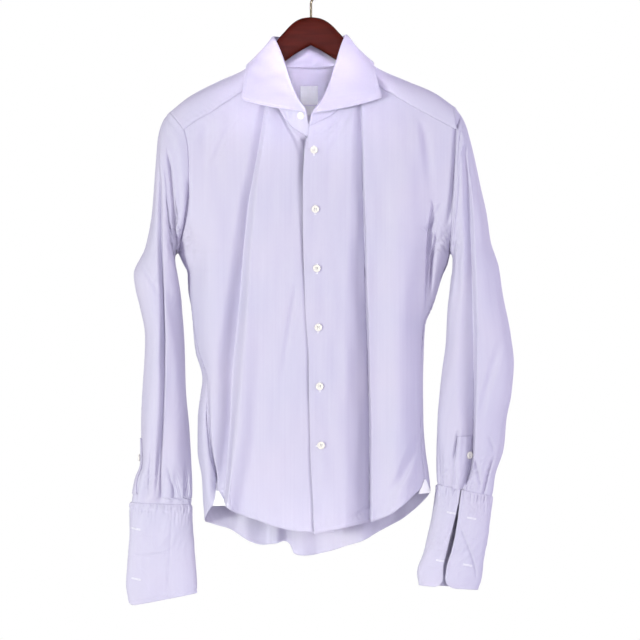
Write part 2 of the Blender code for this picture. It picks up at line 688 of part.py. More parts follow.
def yoke_grids(columns, neck_columns, rows):
    """Back half across the shoulders and neck, and the two front halves."""
    grids = []
    lean = np.linspace(0, 1, rows + 1)
    backs = []
    for side, sign in (("right", -1), ("left", 1)):
        along = np.linspace(0, 1, columns + 1)
        ridge = triple(YOKE[side], "ridge_x ridge_y ridge_drop", along)
        front = yoke_front(side, along)
        across = sign * mix(YOKE_NECK_SHARE, 1.0, along)
        back = back_seam(across)
        fore = np.stack([arch(ridge, front, t) for t in lean])
        aft = np.stack([arch(ridge, back, t) for t in lean])
        fore = trimmed(fore, last_row=TRIM, last_column=YOKE_END_TRIM)
        aft = trimmed(aft, last_column=YOKE_END_TRIM)
        grids.append(fore if sign > 0 else fore[:, ::-1])
        backs.append((aft, sign))
    neck = np.linspace(-NECK_TOP, NECK_TOP, neck_columns + 1)
    neck_line = neck_seam(neck)
    foot = back_seam(neck / NECK_TOP * YOKE_NECK_SHARE)
    middle = np.stack([arch(neck_line, foot, t) for t in lean])
    straight = np.stack([mix(neck_line, foot, t) for t in lean])
    level = 1 - np.abs(neck / NECK_TOP)[None, :, None] ** 3
    middle = mix(middle, straight, 0.75 * level)
    right, left = backs[0][0], backs[1][0]
    back = np.concatenate([right[:, ::-1][:, :-1], middle, left[:, 1:]], axis=1)
    grids.append(trimmed(back, last_row=TRIM)[:, ::-1])
    return grids


def sleeve_points(side, rows, columns):
    """Rings of a sleeve, from the armhole to the cuff; the angle runs 0 outer, 90 front."""
    section = SLEEVE[side]
    angle = np.arange(columns) * 360.0 / columns
    sign = -1 if side == "right" else 1
    phi = np.radians(angle)
    cosine = signed_power(np.cos(phi), SLEEVE_POWER)[None, :]
    sine = signed_power(np.sin(phi), SLEEVE_POWER)[None, :]

    def column(name):
        return section[name][:, None]

    x = mix(column("inner_x"), column("outer_x"), 0.5 + 0.5 * cosine)
    drop = mix(column("inner_drop"), column("outer_drop"), 0.5 + 0.5 * cosine)
    y = column("y") - column("depth") * sine
    rings = np.stack([x, y, drop], axis=-1)
    seam = armhole(side, np.where(angle > 180, angle - 360, angle))
    gap = unit(rings[0] - seam)
    turn = np.abs(np.where(angle > 180, angle - 360, angle))
    under = np.clip((turn - 110) / 60, 0, 1)[:, None]
    start = seam + gap * SLEEVE_GAP + np.array([sign * UNDERARM_EASE, 0, 0]) * under
    rings = np.concatenate([start[None], rings])
    points = smooth(np.asarray(rows, float), np.arange(len(rings)), rings)

    fold_in = np.clip(np.asarray(rows, float) / 1.5, 0, 1)[:, None]
    facing = np.abs(np.sin(phi))[None, :] ** 0.7
    front = fold_depth(SLEEVE_FOLDS[side]["front"], points[..., 0], points[..., 2])
    back = fold_depth(SLEEVE_FOLDS[side]["back"], points[..., 0], points[..., 2])
    is_front = (np.sin(phi) > 0)[None, :]
    points[..., 1] += fold_in * facing * np.where(is_front, front, -back)

    last = float(section["key"][-1])
    start_row = GATHER_START[side]
    ramp = np.clip((np.asarray(rows, float) - start_row) / (last - start_row), 0, 1)[:, None]
    slit = np.abs((angle - SLIT_ANGLE[side] + 180) % 360 - 180)
    clear = np.clip((slit - SLIT_CLEAR) / 10, 0, 1)[None, :]
    wave = GATHER_DEPTH * ramp * clear * np.cos(GATHER_COUNT * phi)[None, :]
    centre_x = 0.5 * (points[..., 0].min(axis=1) + points[..., 0].max(axis=1))[:, None]
    out = np.stack([points[..., 0] - centre_x, points[..., 1] + 2.0], axis=-1)
    out = unit(out)
    points[..., 0] += wave * out[..., 0]
    points[..., 1] += wave * out[..., 1]
    return points


def make_sleeve(side, finish):
    rows = SLEEVE_ROWS[side]
    plain = sleeve_points(side, rows["plain"], SLEEVE_COLUMNS)
    fine = sleeve_points(side, rows["gathered"], 2 * SLEEVE_COLUMNS)
    flip = side == "right"
    work = Patchwork()
    upper = work.grid(plain, closed=True, flip=flip)
    lower = work.grid(fine, closed=True, flip=flip)
    work.strip(upper[-1], lower[0], closed=True, flip=flip)
    return work.finish(f"sleeve_{side}", finish, CLOTH)


def cuff_grid(side, columns, rows):
    """Cuff from one end round to the other, with rounded corners at the turned-down edge."""
    section = CUFF[side]
    down = np.linspace(0, 1, rows + 1)
    width = abs(section["outer_x"][0] - section["inner_x"][0])
    perimeter = 2 * width + 2 * section["depth"][0]
    gap = 360.0 * CUFF_GAP / perimeter / 2
    opening = CUFF_OPENING[side]
    angle = np.radians(opening + np.linspace(gap, 360 - gap, columns + 1))[None, :]
    cosine = signed_power(np.cos(angle), SLEEVE_POWER)
    sine = signed_power(np.sin(angle), SLEEVE_POWER)

    def column(name):
        return read(section, name, down)[:, None]

    x = mix(column("inner_x"), column("outer_x"), 0.5 + 0.5 * cosine)
    y = column("y") - column("depth") * sine
    top = mix(section["inner_drop"][0], section["outer_drop"][0], 0.5 + 0.5 * cosine)
    foot = mix(section["inner_drop"][-1], section["outer_drop"][-1], 0.5 + 0.5 * cosine)
    steps = np.hypot(np.diff(x[-1]), np.diff(y[-1]))
    run = np.concatenate([[0], np.cumsum(steps)])
    from_end = np.minimum(run, run[-1] - run)[None, :]
    inside = np.clip(1 - from_end / CUFF_CORNER, 0, 1)
    foot = foot - CUFF_CORNER * (1 - np.sqrt(1 - inside ** 2)) * 0.9
    drop = mix(top, foot, down[:, None])
    return np.stack([x, y, drop], axis=-1)


def band_grid(columns, rows):
    place = np.linspace(-1, 1, columns + 1)
    seam = neck_seam(place)
    roll = triple(COLLAR, "roll_x roll_y roll_drop", place)
    seam = seam + unit(roll - seam) * BAND_LIFT
    grid = np.stack([mix(seam, roll, t) for t in np.linspace(0, 1, rows + 1)])
    return trimmed(grid, last_row=BAND_TOP_TRIM, first_column=BAND_END_TRIM,
                   last_column=BAND_END_TRIM)


def leaf_grid(columns, rows):
    """Leaf from above the band's top, over it, and down to the outer edge."""
    place = np.linspace(-1, 1, columns + 1)
    seam = neck_seam(place)
    roll = triple(COLLAR, "roll_x roll_y roll_drop", place)
    edge = triple(COLLAR, "edge_x edge_y edge_drop", place)
    down = unit(seam - roll)
    away = edge - roll
    length = np.linalg.norm(away, axis=-1, keepdims=True)
    out = unit(np.cross(np.gradient(roll, axis=0), down))
    out = out * np.sign(np.sum(out * away, axis=-1, keepdims=True))
    over = COLLAR_CLOTH + SEAM_GAP + LEAF_EASE
    rings = [roll - down * (COLLAR_CLOTH / 2 + SEAM_GAP + LEAF_EASE / 2),
             roll + out * over - down * LEAF_EASE]
    start = roll + out * (over + LEAF_EASE) + down * over
    for t in np.linspace(0, 1, rows + 1)[1:]:
        rings.append(mix(start, edge, t) + out * LEAF_BULGE * length * math.sin(math.pi * t))
    return np.stack(rings)


def gusset_grid(side):
    """Small patch wrapped outside the foot of a side seam, narrow at its top."""
    spec = GUSSET[side]
    share = np.linspace(0, 1, 4)[:, None]
    drop = mix(spec["top"], spec["foot"], share)
    seam = seam_angle(side, drop)
    depth = read(BODY, "side_y", drop) - read(DEPTH, "front", drop)
    reach = np.abs(read(BODY, side, drop) - BODY_MIDDLE)
    per_radian = np.hypot(reach * np.sin(seam), depth * np.cos(seam))
    half_angle = GUSSET_HALF_WIDTH / per_radian * mix(0.15, 1.0, share)
    a = seam + half_angle * np.linspace(-1, 1, 7)[None, :]
    drop = drop + 0 * a
    on_front = body_ring(side, drop, a, "front")
    on_back = body_ring(side, drop, a, "back")
    y = np.where(a < 0, on_back[1], on_front[1])
    x = on_front[0]
    y = y + fold_depth(FRONT_FOLDS, x, drop) * (a > 0)
    step_x, step_y = np.gradient(x, axis=1), np.gradient(y, axis=1)
    norm = np.hypot(step_x, step_y)
    out_x, out_y = step_y / norm, -step_x / norm
    flip = np.sign(out_x * (x - BODY_MIDDLE))
    lift = (CLOTH + LABEL_CLOTH) / 2 + GUSSET_EASE[side]
    return np.stack([x + flip * out_x * lift, y + flip * out_y * lift, drop], axis=-1)


def placket_outline(spec):
    """Ray starts for the strip over a sleeve's slit, seen from the side it is laid from."""
    if np.isscalar(spec["y"]):
        return flat_grid(spec["x"], spec["drop"], spec["y"], 3, 9, spec["slant"])
    turned_strip = flat_grid(spec["y"], spec["drop"], spec["x"], 3, 9, spec["slant"])
    return turned_strip[:, ::-1][..., [1, 0, 2]]


# ---------------------------------------------------------------- seating on a finished piece
def surface_of(piece):
    """Ray-castable surface of a piece with its modifiers applied."""
    return BVHTree.FromObject(piece, bpy.context.evaluated_depsgraph_get())


def seat(surface, start, direction):
    """Point and outward normal where a ray from start meets the surface (metres)."""
    spot, normal, _, _ = surface.ray_cast(Vector(start), Vector(direction))
    return spot, normal


def laid_patch(name, surface, outline, direction, finish, wall, lift=LAY_GAP):
    """Patch that lies on a surface: outline is a grid of ray starts in millimetres."""
    starts = to_world(outline)
    points = np.zeros(starts.shape)
    for i, row in enumerate(starts):
        for j, start in enumerate(row):
            spot, normal = seat(surface, start, direction)
            points[i, j] = spot + normal * (lift + wall / 2) * MM
    points = np.stack([points[..., 0], points[..., 1], -points[..., 2]], axis=-1) / MM
    return cloth(name, [points], finish, wall)


def flat_grid(x_range, drop_range, y, columns, rows, slant=0.0):
    """Rectangle of ray starts in front of a surface; slant shifts x over its height."""
    x = np.linspace(*x_range, columns + 1)[None, :]
    share = np.linspace(0, 1, rows + 1)[:, None]
    drop = mix(drop_range[0], drop_range[1], share)
    return np.stack([x + slant * share, np.full((rows + 1, columns + 1), float(y)),
                     drop + 0 * x], axis=-1)


def make_button(name, surface, start, direction, finish):
    """Turned disc with a rolled rim and a shallow dish, seated where a ray lands."""
    r = BUTTON_DIAMETER / 2
    h = BUTTON_THICKNESS
    dished = h - BUTTON_DISH
    profile = [(0, dished), (0.58 * r, dished), (0.8 * r, h), (r, 0.55 * h), (0.8 * r, 0),
               (0, 0)]
    mesh = bpy.data.meshes.new(name)
    points = [(x * MM, 0, z * MM) for x, z in profile]
    mesh.from_pydata(points, [(i, i + 1) for i in range(len(points) - 1)], [])
    button = new_object(name, mesh, finish)
    turn = button.modifiers.new("turned", "SCREW")
    turn.angle = math.tau
    turn.steps = turn.render_steps = BUTTON_SIDES
    turn.use_merge_vertices = True
    turn.merge_threshold = 0.00001
    turn.use_smooth_shade = True
    spot, normal = seat(surface, to_world(start), direction)
    button.location = spot + normal * LAY_GAP * MM
    button.rotation_mode = "QUATERNION"
    button.rotation_quaternion = normal.to_track_quat("Z", "Y")
    return button


# ---------------------------------------------------------------- hanger
def make_hanger(finish):
    """Contoured wooden hanger: rounded sections lofted along the arms."""
    half = HANGER["x"]
    stations = np.concatenate([-half[::-1], half[1:]])
    reach = np.abs(stations)
    lean = math.tan(math.radians(HANGER_TILT))
    phi = (np.arange(HANGER_SIDES) + 0.5) * math.tau / HANGER_SIDES
    bm = bmesh.new()
    rings = []
    for x, r in zip(stations, reach):
        top, bottom = read(HANGER, "top", r), read(HANGER, "bottom", r)
        y, thick = read(HANGER, "y", r), read(HANGER, "thick", r)
        high = signed_power(np.sin(phi), HANGER_SQUARENESS)
        deep = signed_power(np.cos(phi), HANGER_SQUARENESS)
        drop = (top + bottom) / 2 - (bottom - top) / 2 * high
        tilt = -x * lean if r > HANGER_HUMP else 0.0
        points = np.stack([np.full(HANGER_SIDES, x), y + thick / 2 * deep, drop + tilt], axis=-1)
        rings.append([bm.verts.new(p) for p in to_world(points)])
    for first, second in zip(rings[:-1], rings[1:]):
        for i in range(HANGER_SIDES):
            j = (i + 1) % HANGER_SIDES
            bm.faces.new([first[i], first[j], second[j], second[i]])
    bm.faces.new(rings[0][::-1])
    bm.faces.new(rings[-1])
    bmesh.ops.recalc_face_normals(bm, faces=bm.faces)
    mesh = bpy.data.meshes.new("hanger_wood")
    bm.to_mesh(mesh)
    bm.free()
    mesh.shade_smooth()
    return new_object("hanger_wood", mesh, finish)


def make_hook(finish):
    """Bent wire: a stem out of the wood's top and a round hook above it."""
    radius = HOOK_INNER_RADIUS + HOOK_WIRE / 2
    centre_drop = HOOK_INNER_RADIUS
    stem_foot = float(HANGER["top"][0]) + HOOK_SEAT
    points = []
    for degrees in range(200, -61, -12):
        a = math.radians(degrees)
        points.append((radius * math.cos(a), 0, centre_drop - radius * math.sin(a)))
    bend_x, _, bend_drop = points[-1]
    for t in (0.3, 0.55, 0.8, 1.0):
        points.append((bend_x * (1 - t) ** 1.5, 0, mix(bend_drop, bend_drop + 13, t)))
    points.append((0, 0, stem_foot))
    curve = bpy.data.curves.new("hanger_hook", "CURVE")
    curve.dimensions = "3D"
    curve.bevel_depth = HOOK_WIRE / 2 * MM
    curve.bevel_resolution = 2
    curve.use_fill_caps = True
    line = curve.splines.new("POLY")
    line.points.add(len(points) - 1)
    for spot, place in zip(line.points, to_world(points)):
        spot.co = (*place, 1.0)
    return new_object("hanger_hook", curve, finish)


# ---------------------------------------------------------------- the object
shirting = material("shirting", (0.72, 0.68, 0.84), 0.85)
white_cloth = material("white_cloth", (0.93, 0.93, 0.95), 0.85)
label_cloth = material("label_cloth", (0.85, 0.85, 0.90), 0.7)
pearl = material("button_pearl", (0.90, 0.88, 0.83), 0.25)
wood = material("hanger_wood", (0.10, 0.02, 0.015), 0.3)
steel = material("hook_steel", (0.75, 0.74, 0.72), 0.25, 1.0)

make_hanger(wood)
make_hook(steel)

front_left = cloth("front_left", [front_grid("left", 18, 12, 8)[::-1]], shirting)
front_right = cloth("front_right", [front_grid("right", 18, 12, 8)[::-1, ::-1]], shirting)
back = cloth("back", [back_grid(30, 12, 7)[::-1, ::-1]], shirting)
yoke = cloth("yoke", yoke_grids(7, 12, 4), shirting)
sleeves = {side: make_sleeve(side, shirting) for side in ("right", "left")}
for side in ("right", "left"):
    cloth(f"cuff_{side}", [cuff_grid(side, CUFF_COLUMNS, 5)], shirting)
band = cloth("collar_band", [band_grid(34, 2)], shirting, COLLAR_CLOTH)
cloth("collar_leaf", [leaf_grid(34, 4)], shirting, COLLAR_CLOTH)

for side in ("right", "left"):
    cloth(f"gusset_{side}", [gusset_grid(side)], white_cloth, LABEL_CLOTH)

top_surface = surface_of(front_left)
for number in range(BUTTON_COUNT):
    drop = FIRST_BUTTON_DROP + number * BUTTON_PITCH
    x = BUTTON_LINE[0] + BUTTON_LINE[1] * (drop - FIRST_BUTTON_DROP)
    make_button(f"button_front_{number + 1}", top_surface, (x, -300, drop), (0, 1, 0), pearl)
make_button("button_band", surface_of(band), BAND_BUTTON, (0, 1, 0), pearl)

inside = surface_of(yoke)
for name, (x_range, drop_range) in LABELS.items():
    laid_patch(name, inside, flat_grid(x_range, drop_range, -10, 3, 3), (0, 1, 0),
               label_cloth, LABEL_CLOTH)

for side, spec in PLACKET.items():
    surface = surface_of(sleeves[side])
    strip = laid_patch(f"sleeve_placket_{side}", surface, placket_outline(spec),
                       spec["into"], shirting, CLOTH, PLACKET_LIFT)
    make_button(f"button_sleeve_{side}", surface_of(strip), spec["button"], spec["into"], pearl)
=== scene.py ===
"""Long sleeve dress shirt on a contoured wooden hanger: the looks of every piece.

Frame: metres, +Z up, the front of the shirt faces -Y.  The origin is the inner top of the
hanger's hook.  Left and right are the wearer's, so the left side is at +X.
The tables are in millimetres; "drop" is the distance below the origin.
"""
import math

import bmesh
import bpy
import numpy as np
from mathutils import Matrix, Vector
from mathutils.bvhtree import BVHTree


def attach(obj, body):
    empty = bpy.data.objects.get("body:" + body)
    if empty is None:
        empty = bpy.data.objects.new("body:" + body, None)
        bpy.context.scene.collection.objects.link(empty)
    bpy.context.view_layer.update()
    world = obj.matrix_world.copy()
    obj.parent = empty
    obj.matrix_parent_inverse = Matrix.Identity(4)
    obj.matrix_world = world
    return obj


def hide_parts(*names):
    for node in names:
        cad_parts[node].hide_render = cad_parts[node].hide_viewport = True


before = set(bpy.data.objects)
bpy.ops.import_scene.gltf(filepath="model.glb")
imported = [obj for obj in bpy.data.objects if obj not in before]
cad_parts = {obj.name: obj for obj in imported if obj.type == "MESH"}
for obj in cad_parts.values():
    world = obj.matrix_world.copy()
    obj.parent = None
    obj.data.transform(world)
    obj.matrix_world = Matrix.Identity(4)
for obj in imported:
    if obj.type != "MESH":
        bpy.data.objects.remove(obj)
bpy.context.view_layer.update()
MM = 0.001

# ---------------------------------------------------------------- view, light and floor
# The shirt hangs free in front of a camera that stands four metres away, level with its
# middle.  Large soft boxes light it, the strongest from the viewer's left, and two small ones
# reach the neck and the tail.  The studio is white with a pale floor well below the cuffs.
FILM_WIDTH = 36.0
VIEW_DISTANCE = 4.0
VIEW_WIDTH = 0.9728                     # metres across at the front of the shirt
VIEW_MIDDLE = (0.0137, -0.015, -0.532)
BEHIND_SHIRT = dict(From_Min=0.5, From_Max=0.95)
MIDDLE = (0.0, 0.0, -0.5)
SOFT_BOXES = {
    "key_light": dict(place=(-2.5, -2.7, -0.6), size=0.5, power=92, colour=(0.94, 1.0, 0.84),
                      aim=MIDDLE, spread=180),
    "front_light": dict(place=(0.9, -3.7, -0.4), size=1.4, power=45, colour=(0.96, 0.95, 1.0),
                        aim=MIDDLE, spread=180),
    "side_light": dict(place=(3.0, -0.7, 0.1), size=2.0, power=36, colour=(0.90, 0.90, 1.0),
                       aim=MIDDLE, spread=180),
    "back_light": dict(place=(0.6, 2.8, 0.9), size=2.2, power=26, colour=(1.0, 1.0, 1.0),
                       aim=MIDDLE, spread=180),
    "neck_light": dict(place=(0.02, -1.6, -0.06), size=0.2, power=0.18, colour=(0.90, 0.86, 1.0),
                       aim=(-0.01, 0.0, -0.10), spread=11),
    "tail_light": dict(place=(0.0, -1.6, -1.1), size=0.3, power=0.09, colour=(1.0, 1.0, 1.0),
                       aim=(0.0, 0.0, -0.99), spread=13),
}
STUDIO_GREY = (0.49, 0.455, 0.545, 1)   # all round, apart from what is behind the shirt
STUDIO_WHITE = (1.0, 1.0, 1.0, 1)
FLOOR_HEIGHT = -1.25
FLOOR_RADIUS = 1.8
FLOOR_SIDES = 96
FLOOR_PALE = (0.80, 0.79, 0.81, 1)
FLOOR_LIGHT = (0.84, 0.83, 0.85, 1)


def added(name, data, finish=None):
    """New object in the scene, from a mesh, curve, lamp or camera."""
    if finish:
        data.materials.append(finish)
    thing = bpy.data.objects.new(name, data)
    bpy.context.collection.objects.link(thing)
    return thing


class Wire:
    """A socket in a material; arithmetic on it adds the Math node that does it."""

    def __init__(self, finish, socket):
        self.finish = finish
        self.socket = socket

    def math(self, operation, *values):
        return self.finish.node("Math", {"operation": operation}, *values)

    def sine(self):
        return self.math("SINE", self)

    def beside(self, output):
        """Another output of the node that this one comes from."""
        return Wire(self.finish, self.socket.node.outputs[output])

    def __add__(self, other):
        return self.math("ADD", self, other)

    def __sub__(self, other):
        return self.math("SUBTRACT", self, other)

    def __rsub__(self, other):
        return self.math("SUBTRACT", other, self)

    def __mul__(self, other):
        return self.math("MULTIPLY", self, other)

    __radd__ = __add__
    __rmul__ = __mul__


def socket_name(label):
    """Blender's name of a socket from one such as Base_Color."""
    return label.replace("_", " ").title().replace("Ior", "IOR")


class Finish:
    """A material or world in the making: its main shader, and one way to add a node."""

    def __init__(self, name, kind="materials", shader="Principled BSDF", **constants):
        self.owner = getattr(bpy.data, kind).new(name)
        self.owner.use_nodes = True
        self.tree = self.owner.node_tree
        self.shader = self.tree.nodes[shader]
        self.wear(**constants)

    def put(self, socket, value):
        if isinstance(value, Wire):
            self.tree.links.new(value.socket, socket)
        else:
            socket.default_value = value

    def node(self, kind, settings, *values, out=0, **named):
        """Adds a node: its settings first, then its sockets by order or by name."""
        made = self.tree.nodes.new("ShaderNode" + kind)
        for key, value in settings.items():
            setattr(made, key, value)
        for socket, value in zip(made.inputs, values):
            if value is not None:
                self.put(socket, value)
        for label, value in named.items():
            self.put(made.inputs[socket_name(label)], value)
        return Wire(self, made.outputs[out])

    def blend(self, factor, first, second):
        """Mix of two colours; the sockets for numbers and vectors come before them."""
        unused = [None] * 5
        return self.node("Mix", {"data_type": "RGBA"}, factor, *unused, first, second, out=2)

    def wear(self, **sockets):
        """Sets or feeds the main shader and hands the material over."""
        for label, value in sockets.items():
            self.put(self.shader.inputs[socket_name(label)], value)
        return self.owner


camera = added("camera", bpy.data.cameras.new("camera"))
camera.data.sensor_width = FILM_WIDTH
camera.data.lens = FILM_WIDTH * VIEW_DISTANCE / VIEW_WIDTH
camera.location = (VIEW_MIDDLE[0], VIEW_MIDDLE[1] - VIEW_DISTANCE, VIEW_MIDDLE[2])
camera.rotation_euler = (math.radians(90), 0, 0)
bpy.context.scene.camera = camera
bpy.context.scene.view_settings.view_transform = "Standard"

for name, box in SOFT_BOXES.items():
    lamp = added(name, bpy.data.lights.new(name, "AREA"))
    lamp.data.size = box["size"]
    lamp.data.energy = box["power"]
    lamp.data.color = box["colour"]
    lamp.data.spread = math.radians(box["spread"])
    lamp.location = box["place"]
    lamp.visible_camera = False
    aim = Vector(box["aim"]) - Vector(box["place"])
    lamp.rotation_euler = aim.to_track_quat("-Z", "Y").to_euler()

studio = Finish("white_studio", "worlds", "Background")
sky = studio.node("SeparateXYZ", {}, studio.node("TexCoord", {}))
behind = studio.node("MapRange", {"interpolation_type": "SMOOTHSTEP"}, sky.beside("Y"),
                     **BEHIND_SHIRT)
bpy.context.scene.world = studio.wear(
    Color=studio.blend(behind, STUDIO_GREY, STUDIO_WHITE), Strength=1.0)

floor_mesh = bpy.data.meshes.new("pale_floor")
rim = [(FLOOR_RADIUS * math.cos(i * math.tau / FLOOR_SIDES),
        FLOOR_RADIUS * math.sin(i * math.tau / FLOOR_SIDES), FLOOR_HEIGHT)
       for i in range(FLOOR_SIDES)]
floor_mesh.from_pydata(rim, [], [tuple(range(FLOOR_SIDES))])
plain = Finish("pale_floor", Roughness=0.9)
speckle = plain.node("TexNoise", {}, Scale=40.0, Detail=2.0)
floor = added("pale_floor", floor_mesh,
              plain.wear(Base_Color=plain.blend(speckle, FLOOR_PALE, FLOOR_LIGHT)))


# ---------------------------------------------------------------- back
# The back is one length of lilac and white micro-striped cotton poplin with a rounded tail.
# It is felled to the fronts at the sides and sewn flat under the yoke, and its fullness
# hangs in long soft folds.
def table(names, rows):
    """Named columns from rows of numbers; the first column is the place along the piece."""
    names = names.split()
    columns = dict(zip(names, np.array(rows, float).T))
    columns["key"] = columns[names[0]]
    return columns


def fold(right, left, *path):
    """Soft fold: how far it reaches to each side, and the drop, x and depth along it."""
    return dict(right=right, left=left, path=np.array(path, float))


def pleat(toward, *path):
    """Fold with one sharp edge, which faces the left (1) or the right (-1).

    Along it run its drop, the edge's x, the depth, and the widths of both flanks.
    """
    return dict(toward=toward, path=np.array(path, float))


UNDERARM_DROP = 430.0
ARMHOLE_CORNER = 40.0
RING_POWER = 0.86
BODY_MIDDLE = 4.0
BODY = table("drop right right_seam left left_seam side_y", [
    (430, -202, 0, 211, 0, -2), (447, -194, 0, 206, 0, -2), (461, -187, 0, 200, 0, -2),
    (486, -186, 0, 193, 0, -1), (509, -183, 1, 185, 1, 0), (541, -181, 3, 173, 2, 0),
    (578, -176, 5, 171, 3, 0), (623, -166, 9, 171, 4, 0), (646, -168, 11, 171, 4, 0),
    (684, -172, 14, 171, 5, 0), (730, -173, 19, 174, 6, 0), (775, -166, 23, 180, 8, 0),
    (806, -164, 25, 183, 9, 0), (840, -161, 25, 185, 9, 0), (910, -159, 25, 186, 9, 0),
])
DEPTH = table("drop front back", [
    (130, -6, 22), (165, -20, 34), (200, -41, 42), (240, -57, 46), (300, -63, 47),
    (400, -63, 46), (520, -57, 44), (700, -53, 42), (910, -50, 38),
])
ARMHOLE = {
    "right": table("angle drop x_front x_back y_front y_back", [
        (0, 217.5, -214.3, -214.3, -25, -25), (ARMHOLE_CORNER, 245, -191.5, -195, -46, 2),
        (65, 268, -186, -189, -48, 12), (90, 304, -184, -187, -50, 20),
        (115, 335, -185, -187, -50, 22), (140, 376, -191, -191, -44, 21),
        (160, 408, -197, -197, -27, 14), (180, UNDERARM_DROP, -202, -202, -2, -2),
    ]),
    "left": table("angle drop x_front x_back y_front y_back", [
        (0, 208.3, 216, 216, -25, -25), (ARMHOLE_CORNER, 245, 219.8, 213, -46, 2),
        (65, 268, 219, 210, -48, 12), (90, 300, 217, 208, -50, 20),
        (115, 335, 215, 208, -50, 22), (140, 375, 213, 209, -45, 21),
        (160, 408, 212, 210, -28, 14), (180, UNDERARM_DROP, 211, 211, -2, -2),
    ]),
}
BACK_HEM = table("across drop", [
    (-1, 803), (-0.9, 818), (-0.8, 831), (-0.7, 839), (-0.6, 842), (-0.49, 847), (-0.4, 852),
    (-0.33, 862), (-0.26, 873), (-0.2, 878), (-0.14, 875), (-0.105, 872), (-0.085, 875),
    (-0.062, 893), (-0.02, 895), (0.045, 889), (0.115, 880), (0.2, 870), (0.284, 856),
    (0.39, 842), (0.5, 825), (0.63, 808), (0.78, 795), (0.9, 789), (1, 784),
])
BACK_SEAM_DROP = 236.0
BACK_SEAM_Y = 47.0
FRONT_FOLDS = [
    fold(22, 26, (455, -94, 0), (547, -101, -6), (699, -109, -10), (775, -119, -11),
         (830, -126, -11)),
    fold(16, 12, (225, -152, 0), (262, -160, 3.5), (330, -162, 2), (400, -164, 0)),
    fold(40, 46, (215, 152, 0), (330, 142, -9), (480, 134, -14), (700, 135, -17),
         (870, 138, -16)),
    fold(30, 40, (300, -160, 0), (430, -150, -7), (600, -147, -12), (770, -147, -12),
         (830, -146, -9)),
    fold(12, 12, (215, 160, 0), (250, 170, 4), (300, 178, 3), (360, 182, 0)),
    fold(13, 13, (700, 165, 0), (760, 140, 5), (800, 118, 3), (830, 108, 0)),
]
FRONT_PLEATS = [
    pleat(1, (200, 77, 8, 12, 3), (233, 78, 9.5, 14, 3), (284, 80, 11, 17, 3),
          (335, 81, 13, 20, 3), (410, 83.5, 16, 26, 3), (512, 86.5, 21, 33, 3),
          (623, 90, 24, 38, 3), (745, 92, 27, 41, 3), (870, 92, 28, 41, 3)),
    pleat(1, (200, -61, 7, 11, 7), (246, -68, 8, 13, 7), (309, -77, 9, 14, 9),
          (360, -83, 11, 16, 12), (436, -89, 14, 19, 14), (512, -94, 16, 23, 15),
          (600, -101, 15, 28, 17), (700, -111, 16, 29, 12), (840, -128, 16, 25, 6)),
    pleat(1, (620, -152, 0, 8, 5), (660, -151.5, 7, 10, 4), (696, -150.5, 12, 12, 3),
          (734, -146, 17, 15, 3), (772, -140, 19, 19, 3), (792, -141, 12, 16, 3),
          (806, -142, 0, 14, 3)),
    pleat(-1, (350, 181, 0, 9, 3), (368, 179, 6, 9, 3), (398, 175, 12, 11, 3),
          (433, 173, 14, 12, 3), (486, 171.5, 9, 12, 3), (520, 170, 0, 9, 3)),
    pleat(-1, (395, 187, 0, 6, 2.5), (410, 185.5, 6, 7, 2.5), (430, 181, 8, 8, 2.5),
          (456, 179, 7, 8, 2.5), (490, 177, 0, 6, 2.5)),
    pleat(1, (222, -12, 0, 10, 3), (232, -11, 5, 14, 3), (246, -8, 9, 16, 3),
          (258, -5, 9, 12, 3), (268, -4, 3, 8, 3), (275, -4, 0, 6, 3)),
]
BACK_FOLDS = [
    fold(18, 30, (240, -120, 0), (330, -112, 5), (600, -104, 9), (800, -99, 8), (940, -97, 2)),
    fold(14, 12, (620, -50, 0), (760, -52, 8), (940, -55, 18)),
    fold(34, 18, (240, 60, 0), (420, 66, 6), (700, 74, 10), (940, 81, 13)),
    fold(24, 24, (500, 130, 0), (640, 128, -5), (940, 125, -12)),
    fold(30, 30, (520, 8, 0), (700, 12, -6), (940, 14, -9)),
]
PLEAT_EASE = 0.1            # how gently a flank starts to sink
EASED = (math.sqrt(PLEAT_EASE), math.sqrt(1 + PLEAT_EASE))
STRAIGHTENED = 0.55         # share of the way up at which a panel is as straight as it gets
RISE_POWERS = (0.7, 1.6, 2.2)   # how late its straightness, x and y follow the way up
SEAM_WELD = 0.00002         # metres between edges that are one
CLOTH = 0.7
STRIPE_PITCH = 0.0009
YARN_PITCH = 0.00032
LILAC = (0.380, 0.345, 0.525, 1)
STRIPE_WHITE = (0.600, 0.604, 0.696, 1)
PINKISH = (0.60, 0.52, 0.62, 1)
STRIPE_CLEAR, STRIPE_DIM = 0.9, 0.05    # contrast of the stripe, and the least white in it
STREAKY = 0.22
TINTED, TINT_VARIES = 0.12, 0.5
WEAVE_HEIGHT, SLUB_HEIGHT = 0.5, 0.6
LILAC_THREAD = (0.58, 0.54, 0.72, 1)
STITCH_PITCH = 2.7
STITCH_LENGTH = 2.0
STITCH_LIFT = 0.08          # how far the middle of a thread lies over its cloth
THREAD = 0.17
HEM_STITCH = 5.6            # from an edge to the stitches of a hem
WAVE_SPREAD = (0.55, 1.6)   # how much the waves of a ripple differ in length
BACK_ROUNDNESS = 0.25       # of the back across the shoulder blades
BACK_CALM = dict(top=0.14, side=0.09)   # shares of its height and width without folds


